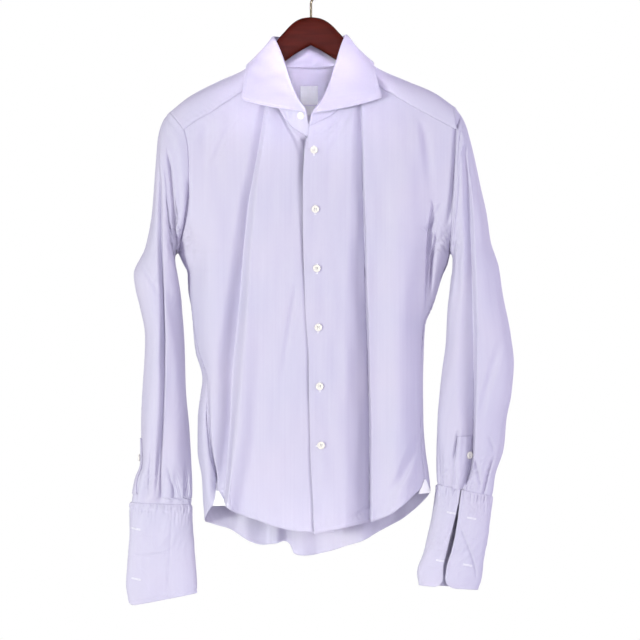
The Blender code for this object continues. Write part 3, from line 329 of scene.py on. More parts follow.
def smooth(at, places, values):
    """Values on a curve through (places, values) that never overshoots between them."""
    at = np.clip(np.asarray(at, float), places[0], places[-1])
    shape = (-1,) + (1,) * (values.ndim - 1)
    step = np.diff(places).reshape(shape)
    slope = np.diff(values, axis=0) / step
    before, after = slope[:-1], slope[1:]
    weight_a = 2 * step[1:] + step[:-1]
    weight_b = step[1:] + 2 * step[:-1]
    same = before * after > 0
    safe_before = np.where(same, before, 1.0)
    safe_after = np.where(same, after, 1.0)
    mean = (weight_a + weight_b) / (weight_a / safe_before + weight_b / safe_after)
    tangent = np.concatenate([slope[:1], np.where(same, mean, 0.0), slope[-1:]])
    index = np.clip(np.searchsorted(places, at) - 1, 0, len(places) - 2)
    width = (places[index + 1] - places[index]).reshape(at.shape + shape[1:])
    t = ((at - places[index]).reshape(width.shape)) / width
    return ((2 * t**3 - 3 * t**2 + 1) * values[index]
            + (t**3 - 2 * t**2 + t) * width * tangent[index]
            + (3 * t**2 - 2 * t**3) * values[index + 1]
            + (t**3 - t**2) * width * tangent[index + 1])


def read(columns, name, at):
    return smooth(at, columns["key"], columns[name])


def grid_of(x, y, drop):
    """Points from their three measures."""
    return np.stack(np.broadcast_arrays(x, y, drop), axis=-1)


def triple(columns, names, at):
    return grid_of(*(read(columns, name, at) for name in names.split()))


def signed_power(value, power):
    return np.sign(value) * np.abs(value) ** power


def mix(first, second, weight):
    return first + (second - first) * weight


def unit(vectors):
    return vectors / np.maximum(np.linalg.norm(vectors, axis=-1, keepdims=True), 1e-9)


def ramp(value, low, high):
    """Soft step from 0 at low to 1 at high."""
    t = np.clip((value - low) / (high - low), 0, 1)
    return t * t * (3 - 2 * t)


def bell(off):
    """Cosine bell: 1 in the middle and 0 from 1 away."""
    return 0.5 + 0.5 * np.cos(np.pi * np.clip(off, -1, 1))


def followed(path, drop):
    """The columns of a fold's path at a drop; its depth, the second one, ends with it."""
    drops, *columns = path.T
    columns = [smooth(drop, drops, column) for column in columns]
    columns[1] = np.where((drop < drops[0]) | (drop > drops[-1]), 0.0, columns[1])
    return columns


def fold_depth(folds, x, drop):
    """Sum of the soft folds at points (x, drop)."""
    total = np.zeros(np.broadcast(x, drop).shape)
    for one in folds:
        centre, depth = followed(one["path"], drop)
        off = x - centre
        total = total + depth * bell(off / np.where(off < 0, one["right"], one["left"]))
    return total


def pleat_depth(pleats, x, drop):
    """Sum of the pleats: each flank sinks towards a sharp edge, where the cloth comes back."""
    total = np.zeros(np.broadcast(x, drop).shape)
    for one in pleats:
        edge, depth, soft, sharp = followed(one["path"], drop)
        off = (x - edge) * one["toward"]
        sunk = np.clip(1 + (off + sharp) / soft, 0, 1)
        sunk = (np.sqrt(sunk ** 2 + PLEAT_EASE) - EASED[0]) / (EASED[1] - EASED[0])
        total = total + depth * sunk * (1 - ramp(off, -sharp, 0))
    return total


def front_folds(x, drop):
    return fold_depth(FRONT_FOLDS, x, drop) + pleat_depth(FRONT_PLEATS, x, drop)


def arch(top, foot, lean):
    """Quarter ellipse from top (lean 0) to foot (lean 1), level at the top."""
    beta = lean * math.pi / 2
    reach = grid_of(1 - np.cos(beta), np.sin(beta), 1 - np.cos(beta))
    return top + (foot - top) * reach


def armhole(side, angle):
    """Armhole seam: 0 at the shoulder's top, 180 at the underarm, minus on the back."""
    rows = ARMHOLE[side]
    angle = np.asarray(angle, float)
    turn = np.abs(angle)
    top = triple(rows, "x_front y_front drop", 0.0)
    seam = {}
    for face in ("front", "back"):
        names = f"x_{face} y_{face} drop"
        low = grid_of(*(smooth(turn, rows["key"][1:], rows[n][1:]) for n in names.split()))
        high = arch(top, triple(rows, names, ARMHOLE_CORNER), np.clip(turn / ARMHOLE_CORNER, 0, 1))
        seam[face] = np.where((turn < ARMHOLE_CORNER)[..., None], high, low)
    return np.where((angle >= 0)[..., None], seam["front"], seam["back"])


def body_ring(side, drop, a, face):
    """Point of a body section: a is 0 at the silhouette and 90 degrees at the middle."""
    outline = read(BODY, side, drop)
    side_y = read(BODY, "side_y", drop)
    x = BODY_MIDDLE + (outline - BODY_MIDDLE) * signed_power(np.cos(a), RING_POWER)
    y = side_y + (read(DEPTH, face, drop) - side_y) * np.abs(np.sin(a)) ** RING_POWER
    return x, y


def angle_at(side, drop, x):
    """Angle a of the body section where it passes x."""
    share = np.clip((x - BODY_MIDDLE) / (read(BODY, side, drop) - BODY_MIDDLE), -1, 1)
    return np.arccos(signed_power(share, 1 / RING_POWER))


def seam_angle(side, drop):
    """Angle of the side seam, which lies a little towards the front."""
    outline = read(BODY, side, drop)
    return angle_at(side, drop, outline - np.sign(outline) * read(BODY, side + "_seam", drop))


def turned(share, along, end_cos=0.0):
    """Mix of a round and a straight way across: share of x left, share of depth gained."""
    a = np.arccos(signed_power(end_cos, 1 / RING_POWER)) * along
    round_x = signed_power(np.cos(a), RING_POWER)
    round_y = np.abs(np.sin(a)) ** RING_POWER
    straight_x = 1 - along * (1 - end_cos)
    straight_y = 1 - (1 - along) ** 2
    return mix(straight_x, round_x, share), mix(straight_y, round_y, share)


def risen(line):
    """How far up each point of an armhole line is, from the underarm to its last one."""
    return ((UNDERARM_DROP - line[:, 2]) / (UNDERARM_DROP - line[-1, 2]))[:, None]


def upper_part(face, outer, rise, top, roundness, along, end_cos=0.0):
    """Panel above the underarm, from the armhole inward, which ends in the line at its top."""
    straight, x_power, y_power = RISE_POWERS
    drop = mix(UNDERARM_DROP, top[None, :, 2], rise)
    share = mix(1.0, roundness, np.clip(rise / STRAIGHTENED, 0, 1) ** straight)
    left_x, gained = turned(share, along, end_cos)
    x = BODY_MIDDLE + (outer[..., 0] - BODY_MIDDLE) * left_x
    y = outer[..., 1] + (read(DEPTH, face, drop) - outer[..., 1]) * gained
    x = x + (top[None, :, 0] - x[-1:, :]) * rise ** x_power
    y = y + (top[None, :, 1] - y[-1:, :]) * rise ** y_power
    return grid_of(x, y, drop)


def back_seam(across):
    """Yoke's back seam from the right armhole (-1) to the left one (1)."""
    ends = {s: armhole(s, -ARMHOLE_CORNER) for s in ("right", "left")}
    reach = np.abs(across)
    end = np.where((across < 0)[..., None], ends["right"], ends["left"])
    x = BODY_MIDDLE + (end[..., 0] - BODY_MIDDLE) * reach
    y = mix(BACK_SEAM_Y, end[..., 1], reach ** RISE_POWERS[2])
    return grid_of(x, y, mix(BACK_SEAM_DROP, end[..., 2], reach ** 2))


def back_grid(columns, low_rows, high_rows):
    """Grid of the back, tail first, right side seam to left side seam."""
    across = np.linspace(-1, 1, columns + 1)[None, :]
    inward = 1 - np.abs(across)
    up = np.linspace(0, 1, low_rows + 1)[:, None]
    drop = mix(read(BACK_HEM, "drop", across), UNDERARM_DROP, up)
    halves, wraps = [], []
    for side in ("right", "left"):
        a = mix(-seam_angle(side, drop), math.pi / 2, inward)
        on_back, on_front = (body_ring(side, drop, a, face) for face in ("back", "front"))
        wraps.append(a < 0)
        halves.append(grid_of(on_back[0], np.where(a < 0, on_front[1], on_back[1]), drop))
    low = np.where((across < 0)[..., None], *halves)
    in_front = np.where(across < 0, *wraps)
    low[..., 1] += in_front * front_folds(low[..., 0], low[..., 2])

    angles = np.linspace(-180, -ARMHOLE_CORNER, high_rows + 1)
    ends = {s: armhole(s, angles) for s in ("right", "left")}
    rise = risen(ends["left"])
    outer = np.where((across < 0)[..., None], ends["right"][:, None], ends["left"][:, None])
    high = upper_part("back", outer, rise, back_seam(across[0]), BACK_ROUNDNESS, inward)
    high[..., 2] += (outer[..., 2] - high[..., 2]) * (1 - inward) ** 8
    grid = np.concatenate([low, high[1:]])
    from_top = np.concatenate([np.ones_like(up), ramp(1 - rise[1:], 0, BACK_CALM["top"])])
    from_side = ramp(inward, 0, BACK_CALM["side"])
    grid[..., 1] -= from_top * from_side * fold_depth(BACK_FOLDS, grid[..., 0], grid[..., 2])
    return grid


def to_world(points):
    """Table millimetres (x, y, drop) to metres with +Z up."""
    points = np.asarray(points, float) * MM
    return np.stack([points[..., 0], points[..., 1], -points[..., 2]], axis=-1)


def length_along(points):
    """Distance of each point of a line, or of each line of a grid, from its first one."""
    steps = np.linalg.norm(np.diff(points, axis=0), axis=-1)
    return np.concatenate([np.zeros_like(steps[:1]), np.cumsum(steps, axis=0)])


def edge_gaps(grid):
    """Distances from a grid's first row, last row, first column and last column."""
    down, along = length_along(grid), length_along(grid.swapaxes(0, 1)).T
    return down, down[-1:] - down, along, along[:, -1:] - along


def sampled(at, run, values):
    """Rows of values read at places along a line."""
    return np.stack([np.interp(at, run, column) for column in values.T], axis=-1)


def outward(grid, inner, closed=False):
    """Unit normals of a grid, on the side that faces away from the inner points."""
    if closed:
        round_step = np.roll(grid, -1, axis=1) - np.roll(grid, 1, axis=1)
    else:
        round_step = np.gradient(grid, axis=1)
    normal = unit(np.cross(round_step, np.gradient(grid, axis=0)))
    return normal * np.sign(np.sum(normal * (grid - inner)))


def body_axis(grid):
    """Points on the body's middle line, level with each point of a panel."""
    return grid_of(BODY_MIDDLE + 0.5 * (grid[..., 0] - BODY_MIDDLE), 0.0, grid[..., 2])


def raised(grid, normals, relief):
    return grid + normals * relief[..., None]


def ripples(first, second, seed, lengths, count=9):
    """Soft unrepeated waves of about unit height; lengths are those along each direction."""
    dice = np.random.default_rng(seed)
    total = 0.0
    for _ in range(count):
        turn = dice.uniform(*WAVE_SPREAD, 2) * math.tau / np.array(lengths)
        lean = dice.choice([-1, 1])
        start = dice.uniform(0, math.tau)
        total = total + np.sin(first * turn[0] + lean * second * turn[1] + start)
    return total / math.sqrt(count)


def felled(gap, width, height=0.45, slope=0.8, pressed=(-0.5, 2.5)):
    """Raised strip of folded seam allowance along an edge, pressed flat at the edge."""
    return height * (1 - ramp(gap, width - slope, width + slope)) * ramp(gap, *pressed)


def tucked(grid, normals, row, under=0.8, sunk=0.12):
    """Runs an end row of a grid a little under the piece that it is sewn to."""
    grid = grid.copy()
    beside = 1 if row == 0 else -2
    grid[row] += unit(grid[row] - grid[beside]) * under - normals[row] * sunk
    return grid


def puckers(gap, along, seed, height, reach=9.0, pitch=9.0, length=40.0, start=4.0):
    """Short gathers that a row of stitches draws up, fading away from the seam."""
    fading = ramp(gap, 0, start) * np.exp(-gap / reach)
    return height * fading * ripples(along, gap, seed, (pitch, length), count=5)


def sew(name, grids, finish, thickness=CLOTH, closed=False, grain=None):
    """Cloth piece from one or more grids; grain gives each its places on the flat cloth."""
    points, faces, flat = [], [], []
    for number, grid in enumerate(grids):
        rows, columns = grid.shape[:2]
        first = len(points)
        points.extend(to_world(grid).reshape(-1, 3).tolist())
        index = first + np.arange(rows * columns).reshape(rows, columns)
        if grain is None:
            gaps = edge_gaps(grid)
            level = np.broadcast_to(gaps[2].mean(axis=0), gaps[0].shape)
            place = np.stack([level, gaps[0]], axis=-1)
        else:
            place = grain[number]
        if closed:
            girth = place[0, -1, 0] + place[0, 1, 0] - place[0, 0, 0]
            index = np.concatenate([index, index[:, :1]], axis=1)
            place = np.concatenate([place, place[:, :1] + [girth, 0.0]], axis=1)
        corners = [np.stack([a[:-1, :-1], a[:-1, 1:], a[1:, 1:], a[1:, :-1]], axis=2)
                   for a in (index, place)]
        faces.extend(corners[0].reshape(-1, 4).tolist())
        flat.append(corners[1].reshape(-1, 2))
    mesh = bpy.data.meshes.new(name)
    mesh.from_pydata(points, [], faces)
    places = mesh.uv_layers.new(name="cut")
    places.data.foreach_set("uv", (np.concatenate(flat) * MM).ravel())
    if len(grids) > 1:
        work = bmesh.new()
        work.from_mesh(mesh)
        bmesh.ops.remove_doubles(work, verts=work.verts, dist=SEAM_WELD)
        work.to_mesh(mesh)
        work.free()
    mesh.shade_smooth()
    piece = added(name, mesh, finish)
    shell = piece.modifiers.new("thickness", "SOLIDIFY")
    shell.thickness = thickness * MM
    shell.offset = 0.0
    shell.use_even_offset = False
    return piece


def poplin(name):
    """Yarn-dyed micro stripe: lilac and white ends in turn, a plain weave, a soft sheen."""
    cloth = Finish(name, Roughness=0.70, Specular_Ior_Level=0.3, Sheen_Weight=0.15,
                   Sheen_Roughness=0.45, Sheen_Tint=(0.80, 0.70, 1.0, 1))
    cut = cloth.node("UVMap", {"uv_map": "cut"})
    across = cloth.node("SeparateXYZ", {}, cut)
    along = across.beside("Y")
    white = (across * (math.tau / STRIPE_PITCH)).sine() * 0.5 + 0.5
    warp = (across * (math.tau / YARN_PITCH)).sine()
    weft = (along * (math.tau / YARN_PITCH)).sine()
    slub = cloth.node("TexNoise", {}, Vector=cut, Scale=900.0, Detail=2.0)
    patch = cloth.node("TexNoise", {}, Vector=cut, Scale=9.0, Detail=2.0)
    drawn = cloth.node("Mapping", {}, Vector=cut, Scale=(300.0, 5.0, 1.0))
    streak = cloth.node("TexNoise", {}, Vector=drawn, Scale=1.0, Detail=3.0)
    whiter = white * STRIPE_CLEAR + (streak - 0.5) * STREAKY + STRIPE_DIM
    yarn = cloth.blend(whiter, LILAC, STRIPE_WHITE)
    tinted = cloth.blend((patch - 0.5) * TINT_VARIES + TINTED, yarn, PINKISH)
    height = warp * weft * WEAVE_HEIGHT + slub * SLUB_HEIGHT
    weave = cloth.node("Bump", {}, Strength=0.25, Distance=0.00012, Height=height)
    return cloth.wear(Base_Color=tinted, Normal=weave)


def inset(grid, normals, gap, distance, down=True):
    """Line on a panel at a distance from one edge, and the normals there."""
    if not down:
        grid, normals, gap = (a.swapaxes(0, 1) for a in (grid, normals, gap))
    both = np.concatenate([grid, normals], axis=-1)
    line = []
    for j in range(gap.shape[1]):
        order = 1 if gap[-1, j] > gap[0, j] else -1
        line.append(sampled(distance, gap[::order, j], both[::order, j]))
    return np.array(line)


def spindles(spots, normal, radius):
    """Points and faces of raised stitches; each has four places along it."""
    ahead = unit(spots[:, -1] - spots[:, 0])[:, None]
    side = unit(np.cross(ahead, normal))
    ring = np.stack([spots + normal * radius, spots + side * radius, spots - normal * radius,
                     spots - side * radius], axis=2)
    ends = spots[:, [0, -1]] - normal[:, [0, -1]] * radius
    points = np.concatenate([ends[:, :1], ring[:, 1], ring[:, 2], ends[:, 1:]], axis=1)
    faces = []
    for k in range(4):
        n = (k + 1) % 4
        faces += [(0, 1 + n, 1 + k), (1 + k, 1 + n, 5 + n, 5 + k), (9, 5 + k, 5 + n)]
    every = [tuple(10 * i + v for v in face) for i in range(len(spots)) for face in faces]
    return points.reshape(-1, 3), every


def run_of_stitches(line, lift, pitch=STITCH_PITCH, length=STITCH_LENGTH):
    """The single stitches along a line of points and normals."""
    run = length_along(line[:, :3])
    starts = np.arange(pitch / 2, run[-1] - length, pitch)
    spots = sampled(starts[:, None] + length * np.array([0.0, 0.25, 0.75, 1.0]), run, line)
    normal = unit(spots[..., 3:])
    return spindles(spots[..., :3] + normal * lift, normal, THREAD)


def threads(name, parts, finish):
    """One piece that holds many stitches."""
    points, faces, count = [], [], 0
    for spots, shape in parts:
        points.append(to_world(spots))
        faces.extend([tuple(count + v for v in face) for face in shape])
        count += len(spots)
    mesh = bpy.data.meshes.new(name)
    mesh.from_pydata(np.concatenate(points).tolist(), [], faces)
    mesh.shade_smooth()
    piece = added(name, mesh, finish)
    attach(piece, "root")


def on_top(cloth):
    """Height of a stitch above the middle of its cloth."""
    return cloth / 2 + STITCH_LIFT


def stitching(name, lines, finish, lift=on_top(CLOTH), **thread):
    """The stitches of several seams."""
    threads(name, [run_of_stitches(line, lift, **thread) for line in lines], finish)


def cotton_thread(name, colour):
    """Spun thread: a little uneven in colour, matt with a faint sheen."""
    thread = Finish(name, Roughness=0.7, Sheen_Weight=0.3)
    spin = thread.node("TexNoise", {}, Scale=1400.0, Detail=1.0)
    light = tuple(min(1.0, c * 1.12) for c in colour[:3]) + (1,)
    twist = thread.node("Bump", {}, Strength=0.3, Distance=0.0001, Height=spin)
    return thread.wear(Base_Color=thread.blend(spin, colour, light), Normal=twist)


shirting = poplin("striped_poplin")
lilac_thread = cotton_thread("lilac_thread", LILAC_THREAD)

back = back_grid(columns=150, low_rows=150, high_rows=72)
gaps = edge_gaps(back)
normals = outward(back, body_axis(back))
sway = ripples(back[..., 0], back[..., 2], seed=7, lengths=(46, 190)) * ramp(gaps[1], 0, 25)
relief = (felled(gaps[0], width=6.5, height=0.35) + felled(gaps[2], width=8)
          + felled(gaps[3], width=8)
          + puckers(gaps[2], gaps[0], seed=3, height=0.5)
          + puckers(gaps[3], gaps[0], seed=4, height=0.5)
          + puckers(gaps[1], gaps[2], seed=5, height=0.35)
          + puckers(gaps[0], gaps[2], seed=6, height=0.5, reach=12, pitch=14) + 0.7 * sway)
back = tucked(raised(back, normals, relief), normals, -1)
back_piece = sew("back_cloth", [back], shirting, grain=[back[..., [0, 2]]])
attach(back_piece, "root")
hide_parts("back")

stitching("stitching_back", [inset(back, normals, gaps[0], HEM_STITCH)], lilac_thread)


# ---------------------------------------------------------------- fronts
# Two fronts of the same cloth, the wearer's left one lapped over the right.  Their centre
# edges are turned inside, the hems are narrow and stitched, and the folds that hang from
# the collar and the shoulders are those of a shirt put away unpressed.
def crumples(*rows):
    """Crushed places: x, drop, half width, half height, depth and length of the creases."""
    return [dict(zip("x drop wide tall height length".split(), row)) for row in rows]


CENTRE = {
    "left": table("drop x", [
        (240, -3.5), (257, -5), (262, -9), (278, -9.7), (328, -12.2), (377, -12.2),
        (421, -11.6), (465, -10), (523, -7.9), (588, -3.6), (642, -3), (704, -1.5),
        (734, -1), (790, 2), (856, 4.9),
    ]),
    "right": table("drop x", [
        (257, 4), (280, 18), (300, 22), (450, 26), (560, 29), (700, 33), (850, 36),
    ]),
}
SEAM_FOOT = {"right": 803.0, "left": 784.0}
CENTRE_FOOT = 853.0
HEM = {
    "right": table("x drop", [
        (-150, 801), (-139, 803.5), (-124, 817), (-114, 823), (-82, 834), (-50, 845),
        (-14, 851), (20, 853), (40, 853),
    ]),
    "left": table("x drop", [
        (5, 855.5), (44, 847), (90, 837), (114, 828), (144, 806.5), (157, 795), (172, 784),
    ]),
}
NECK = table("place x y drop", [
    (-1.00, 1, -54, 261), (-0.88, -33, -50, 237), (-0.77, -56, -39, 200),
    (-0.65, -73, -27, 164), (-0.57, -79, -15, 141), (-0.50, -80, -2, 133),
    (-0.40, -76, 16, 136), (-0.25, -58, 34, 140), (-0.12, -30, 42, 143),
    (0.00, 0, 45, 144.5), (0.12, 30, 42, 143), (0.25, 58, 34, 140), (0.40, 76, 16, 136),
    (0.50, 80, -2, 133), (0.57, 79, -15, 141), (0.65, 73, -27, 164), (0.77, 55, -40, 198),
    (0.88, 32, -52, 223), (1.00, -3.5, -61, 241),
])
NECK_FRONT = 0.65
YOKE = {
    "right": table("along front_x front_y front_drop ridge_x ridge_y ridge_drop", [
        (0, -73, -27, 164, -80, -2, 133), (0.35, -115, -38, 194, -102, -4, 151),
        (0.65, -152, -43, 219, -146, -12, 172), (0.85, -174, -45, 232, -184, -20, 193),
        (1, -191.5, -46, 245, -214.3, -25, 217.5),
    ]),
    "left": table("along front_x front_y front_drop ridge_x ridge_y ridge_drop", [
        (0, 73, -27, 164, 80, -2, 133), (0.35, 120, -38, 189, 104, -4, 150),
        (0.65, 160, -43, 213, 148, -12, 170), (0.85, 193, -45, 231, 186, -20, 187),
        (1, 219.8, -46, 245, 216, -25, 208.3),
    ]),
}
NECK_COLUMN = 11 / 18       # share of a front's width at which its yoke seam ends
FRONT_ROUNDNESS = 0.3
SEAM_STITCH = 1.6           # from an edge to the stitches of a seam
FRONT_CALM = dict(top=0.13, side=0.07)  # shares of its height and width without folds
FRONT_COLUMNS = 301         # before they are crowded round the pleats
FRONT_LAP = 4.6             # how far the right front sinks below the left one
LAP_SLOPE = (10.0, 5.0)     # width of its slope above and below, between two drops
LAP_SLOPE_DROPS = (330, 430)
LAP_FLATTENED = 0.48        # how much of the lap is left, again between two drops
LAP_FLATTENED_DROPS = (360, 460)
FRONT_CREASES = [
    fold(9, 7, (222, -108, 0), (249, -127, 2.4), (274, -137, 2.2), (306, -154, 0)),
    fold(5, 7, (470, -22, 0), (500, -26, 2.6), (575, -38, 1.8), (640, -46, 0)),
    fold(6, 8, (200, 54, 0), (215, 44, 3.0), (243, 30, 2.4), (262, 20, 0)),
    fold(7, 8, (205, 66, 0), (232, 52, 2.0), (268, 34, 1.2), (290, 24, 0)),
    fold(6, 8, (205, -52, 0), (235, -36, 2.6), (262, -22, 2.2), (290, -14, 0)),
    fold(7, 7, (665, 178, 0), (700, 166, 2.6), (745, 150, 2.4), (790, 128, 0)),
    fold(5, 6, (740, 168, 0), (765, 160, 2.0), (790, 146, 0)),
    fold(9, 8, (806, 97, 0), (815, 88, 2.4), (826, 70, 2.4), (836, 50, 0)),
    fold(5, 6, (380, -188, 0), (402, -183, 3.4), (425, -180, 3), (452, -178, 0)),
    fold(5, 7, (352, 200, 0), (368, 190, 3.6), (388, 180, 3), (405, 170, 0)),
    fold(5, 6, (395, 203, 0), (410, 196, 4), (428, 186, 3), (450, 178, 0)),
    fold(3.5, 3.5, (640, -110, 0), (700, -116, -1.6), (790, -124, -2.2), (820, -127, 0)),
]
SEAM_CREASES = [
    fold(7, 3.5, (318, -184, 0), (340, -184.5, 6), (372, -188, 8), (402, -196, 7),
         (418, -201, 0)),
    fold(7, 3.5, (205, 228, 0), (226, 224, 4), (246, 219.5, 6), (301, 216.5, 7), (345, 213.5, 7),
         (372, 210, 5), (392, 205, 0)),
]
CRUMPLES = crumples(
    (-186, 408, 13, 26, 3.0, 11), (199, 412, 15, 24, 2.8, 11), (-136, 805, 18, 14, 1.6, 12),
    (150, 790, 26, 14, 0.8, 15), (74, 826, 16, 9, 2.0, 10), (20, 246, 26, 14, 0.7, 16))
CRUMPLE_SEED = 30


def near(value, middle, width):
    """Rounded bump round a middle."""
    return np.exp(-((value - middle) / width) ** 2)


def crowding(pleats, x, drop, share=4.0, full=3.0):
    """How much closer the columns of a grid stand, so that they follow the sharp edges."""
    total = np.ones(np.broadcast(x, drop).shape)
    for one in pleats:
        edge, depth, _, sharp = followed(one["path"], drop)
        off = (x - edge) * one["toward"]
        total = total + share * near(off, -sharp / 2, sharp + 1) * np.clip(depth / full, 0, 1)
    return total


def crowded(points, extra, density, columns):
    """Rows sampled anew, closer together where the density is higher, with one extra value."""
    extra = np.broadcast_to(extra, points.shape[:2])[..., None]
    made = []
    for row, mass in zip(np.concatenate([points, extra], axis=-1), density):
        step = np.linalg.norm(np.diff(row[:, :3], axis=0), axis=1)
        run = np.concatenate([[0], np.cumsum(step * (mass[1:] + mass[:-1]) / 2)])
        made.append(sampled(np.linspace(0, run[-1], columns), run, row))
    made = np.array(made)
    return made[..., :3], made[..., 3]


def crumple_depth(x, drop, places, slant=(0.4, 0.5), stretch=2.2):
    """Small sharp creases in a few places where the cloth is crushed."""
    total = 0.0
    for number, place in enumerate(places):
        inside = np.exp(-((x - place["x"]) / place["wide"]) ** 2
                        - ((drop - place["drop"]) / place["tall"]) ** 2)
        lengths = (place["length"], place["length"] * stretch)
        wave = ripples(x + drop * slant[0], drop - x * slant[1], CRUMPLE_SEED + number,
                       lengths, count=7)
        total = total + place["height"] * inside * (1.2 * np.abs(wave) - 0.8)
    return total


def neck_seam(place):
    return triple(NECK, "x y drop", place)


def yoke_front(side, along):
    return triple(YOKE[side], "front_x front_y front_drop", along)


def front_grid(side, columns, low_rows, high_rows):
    """Grid of a front, hem first, side seam or armhole to centre edge."""
    sign = -1 if side == "right" else 1
    across = np.linspace(0, 1, FRONT_COLUMNS)[None, :]
    up = np.linspace(0, 1, low_rows + 1)[:, None]
    centre_x = CENTRE[side]
    hem_guess = mix(SEAM_FOOT[side], CENTRE_FOOT, across)
    end = angle_at(side, hem_guess, read(centre_x, "x", hem_guess))
    hem_x, _ = body_ring(side, hem_guess, mix(seam_angle(side, hem_guess), end, across), "front")
    drop = mix(read(HEM[side], "drop", hem_x), UNDERARM_DROP, up)
    a = mix(seam_angle(side, drop), angle_at(side, drop, read(centre_x, "x", drop)), across)
    low = grid_of(*body_ring(side, drop, a, "front"), drop)

    outer = armhole(side, np.linspace(180, ARMHOLE_CORNER, high_rows + 1))[:, None]
    rise = risen(outer[:, 0])
    on_yoke = np.clip(across[0] / NECK_COLUMN, 0, 1)
    on_neck = np.clip((across[0] - NECK_COLUMN) / (1 - NECK_COLUMN), 0, 1)
    top = np.where((across[0] < NECK_COLUMN)[:, None], yoke_front(side, 1 - on_yoke),
                   neck_seam(sign * mix(NECK_FRONT, 1.0, on_neck)))
    edge_x = read(centre_x, "x", mix(UNDERARM_DROP, top[-1, 2], rise))
    end_cos = (edge_x - BODY_MIDDLE) / (outer[..., 0] - BODY_MIDDLE)
    high = upper_part("front", outer, rise, top, FRONT_ROUNDNESS, across, end_cos)
    grid = np.concatenate([low, high[1:]])

    from_top = np.concatenate([np.ones_like(up), ramp(1 - rise[1:], 0, FRONT_CALM["top"])])
    density = crowding(FRONT_PLEATS, grid[..., 0], grid[..., 2])
    beside_lap = read(CENTRE["left"], "x", grid[..., 2]) - 2
    density = density + 2.5 * near(grid[..., 0], beside_lap, 3)
    grid, across = crowded(grid, across, density, columns + 1)
    x, drop = grid[..., 0], grid[..., 2]
    from_side = ramp(across, 0, FRONT_CALM["side"])
    weight = from_top * np.where(drop < UNDERARM_DROP, from_side, 1.0)
    small = fold_depth(FRONT_CREASES, x, drop) + crumple_depth(x, drop, CRUMPLES)
    grid[..., 1] += weight * (front_folds(x, drop) + small * from_side)
    grid[..., 1] += fold_depth(SEAM_CREASES, x, drop)
    if side == "right":
        wide = mix(*LAP_SLOPE, ramp(drop, *LAP_SLOPE_DROPS))
        deep = FRONT_LAP * mix(1.0, LAP_FLATTENED, ramp(drop, *LAP_FLATTENED_DROPS))
        grid[..., 1] += deep * ramp((x - read(CENTRE["left"], "x", drop)) / wide, -1, 0.1)
    return grid


fronts = {}
for side in ("right", "left"):
    grid = front_grid(side, columns=116, low_rows=140, high_rows=76)
    gaps = edge_gaps(grid)
    normals = outward(grid, body_axis(grid))
    sway = 0.55 * ripples(grid[..., 0], grid[..., 2], seed=14 + len(side), lengths=(42, 210))
    relief = (felled(gaps[0], width=6.5, height=0.3)
              + puckers(gaps[2], gaps[0], seed=11, height=0.45)
              + puckers(gaps[1], gaps[2], seed=12, height=0.3)
              + puckers(gaps[0], gaps[2], seed=13, height=0.5, reach=12, pitch=14)
              + sway * ramp(gaps[1], 0, 25) * ramp(gaps[2], 0, 20) * ramp(gaps[3], -20, 15))
    grid = tucked(raised(grid, normals, relief), normals, -1)
    piece = sew(f"front_{side}_cloth", [grid], shirting, grain=[grid[..., [0, 2]]])
    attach(piece, "root")
    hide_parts(f"front_{side}")
    fronts[side] = piece
    stitching(f"stitching_front_{side}",
              [inset(grid, normals, gaps[0], HEM_STITCH),
               inset(grid, normals, gaps[2], SEAM_STITCH, down=False)], lilac_thread)


# ---------------------------------------------------------------- yoke
# Two layers of the same cloth over the shoulders, with the stripe across.  The fronts and
# the back are sewn between them, and a row of stitches runs close to each seam.
YOKE_NECK_SHARE = 0.40      # of the back seam that lies below the neck
NECK_TOP = 0.50             # place along the neck seam of the shoulders' ridge
NECK_STRAIGHTENED = 0.75    # how straight the yoke runs down from the middle of the neck
YOKE_STITCH = 1.7


def yoke_grids(columns, neck_columns, rows):
    """Back half across the shoulders and neck, and the two front halves."""
    lean = np.linspace(0, 1, rows + 1)
    along = np.linspace(0, 1, columns + 1)
    grids, backs = [], []
    for side, sign in (("right", -1), ("left", 1)):
        ridge = triple(YOKE[side], "ridge_x ridge_y ridge_drop", along)
        back_line = back_seam(sign * mix(YOKE_NECK_SHARE, 1.0, along))
        fore = np.stack([arch(ridge, yoke_front(side, along), t) for t in lean])
        backs.append(np.stack([arch(ridge, back_line, t) for t in lean]))
        grids.append(fore if sign > 0 else fore[:, ::-1])
    neck = np.linspace(-NECK_TOP, NECK_TOP, neck_columns + 1)
    neck_line = neck_seam(neck)
    foot = back_seam(neck / NECK_TOP * YOKE_NECK_SHARE)
    middle = np.stack([arch(neck_line, foot, t) for t in lean])
    straight = np.stack([mix(neck_line, foot, t) for t in lean])
    centred = 1 - np.abs(neck / NECK_TOP)[None, :, None] ** 3
    middle = mix(middle, straight, NECK_STRAIGHTENED * centred)
    right, left = backs
    grids.append(np.concatenate([right[:, ::-1][:, :-1], middle, left[:, 1:]], axis=1)[:, ::-1])
    return grids


yoke_cloth, yoke_grain, yoke_lines = [], [], []
for grid in yoke_grids(columns=64, neck_columns=60, rows=34):
    gaps = edge_gaps(grid)
    normals = outward(grid, grid * [0.55, 0.0, 1.0] + [0, 0, 60.0])
    relief = (felled(gaps[1], width=7.5, height=0.4)
              + puckers(gaps[1], gaps[2], seed=21, height=0.35)) * ramp(gaps[0], 0, 20)
    grid = raised(grid, normals, relief)
    yoke_cloth.append(grid)
    yoke_grain.append(np.stack([gaps[0], grid[..., 0]], axis=-1))
    yoke_lines.append(inset(grid, normals, gaps[1], YOKE_STITCH))
yoke_piece = sew("yoke_cloth", yoke_cloth, shirting, grain=yoke_grain)
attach(yoke_piece, "root")
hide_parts("yoke")
stitching("stitching_yoke", yoke_lines, lilac_thread)


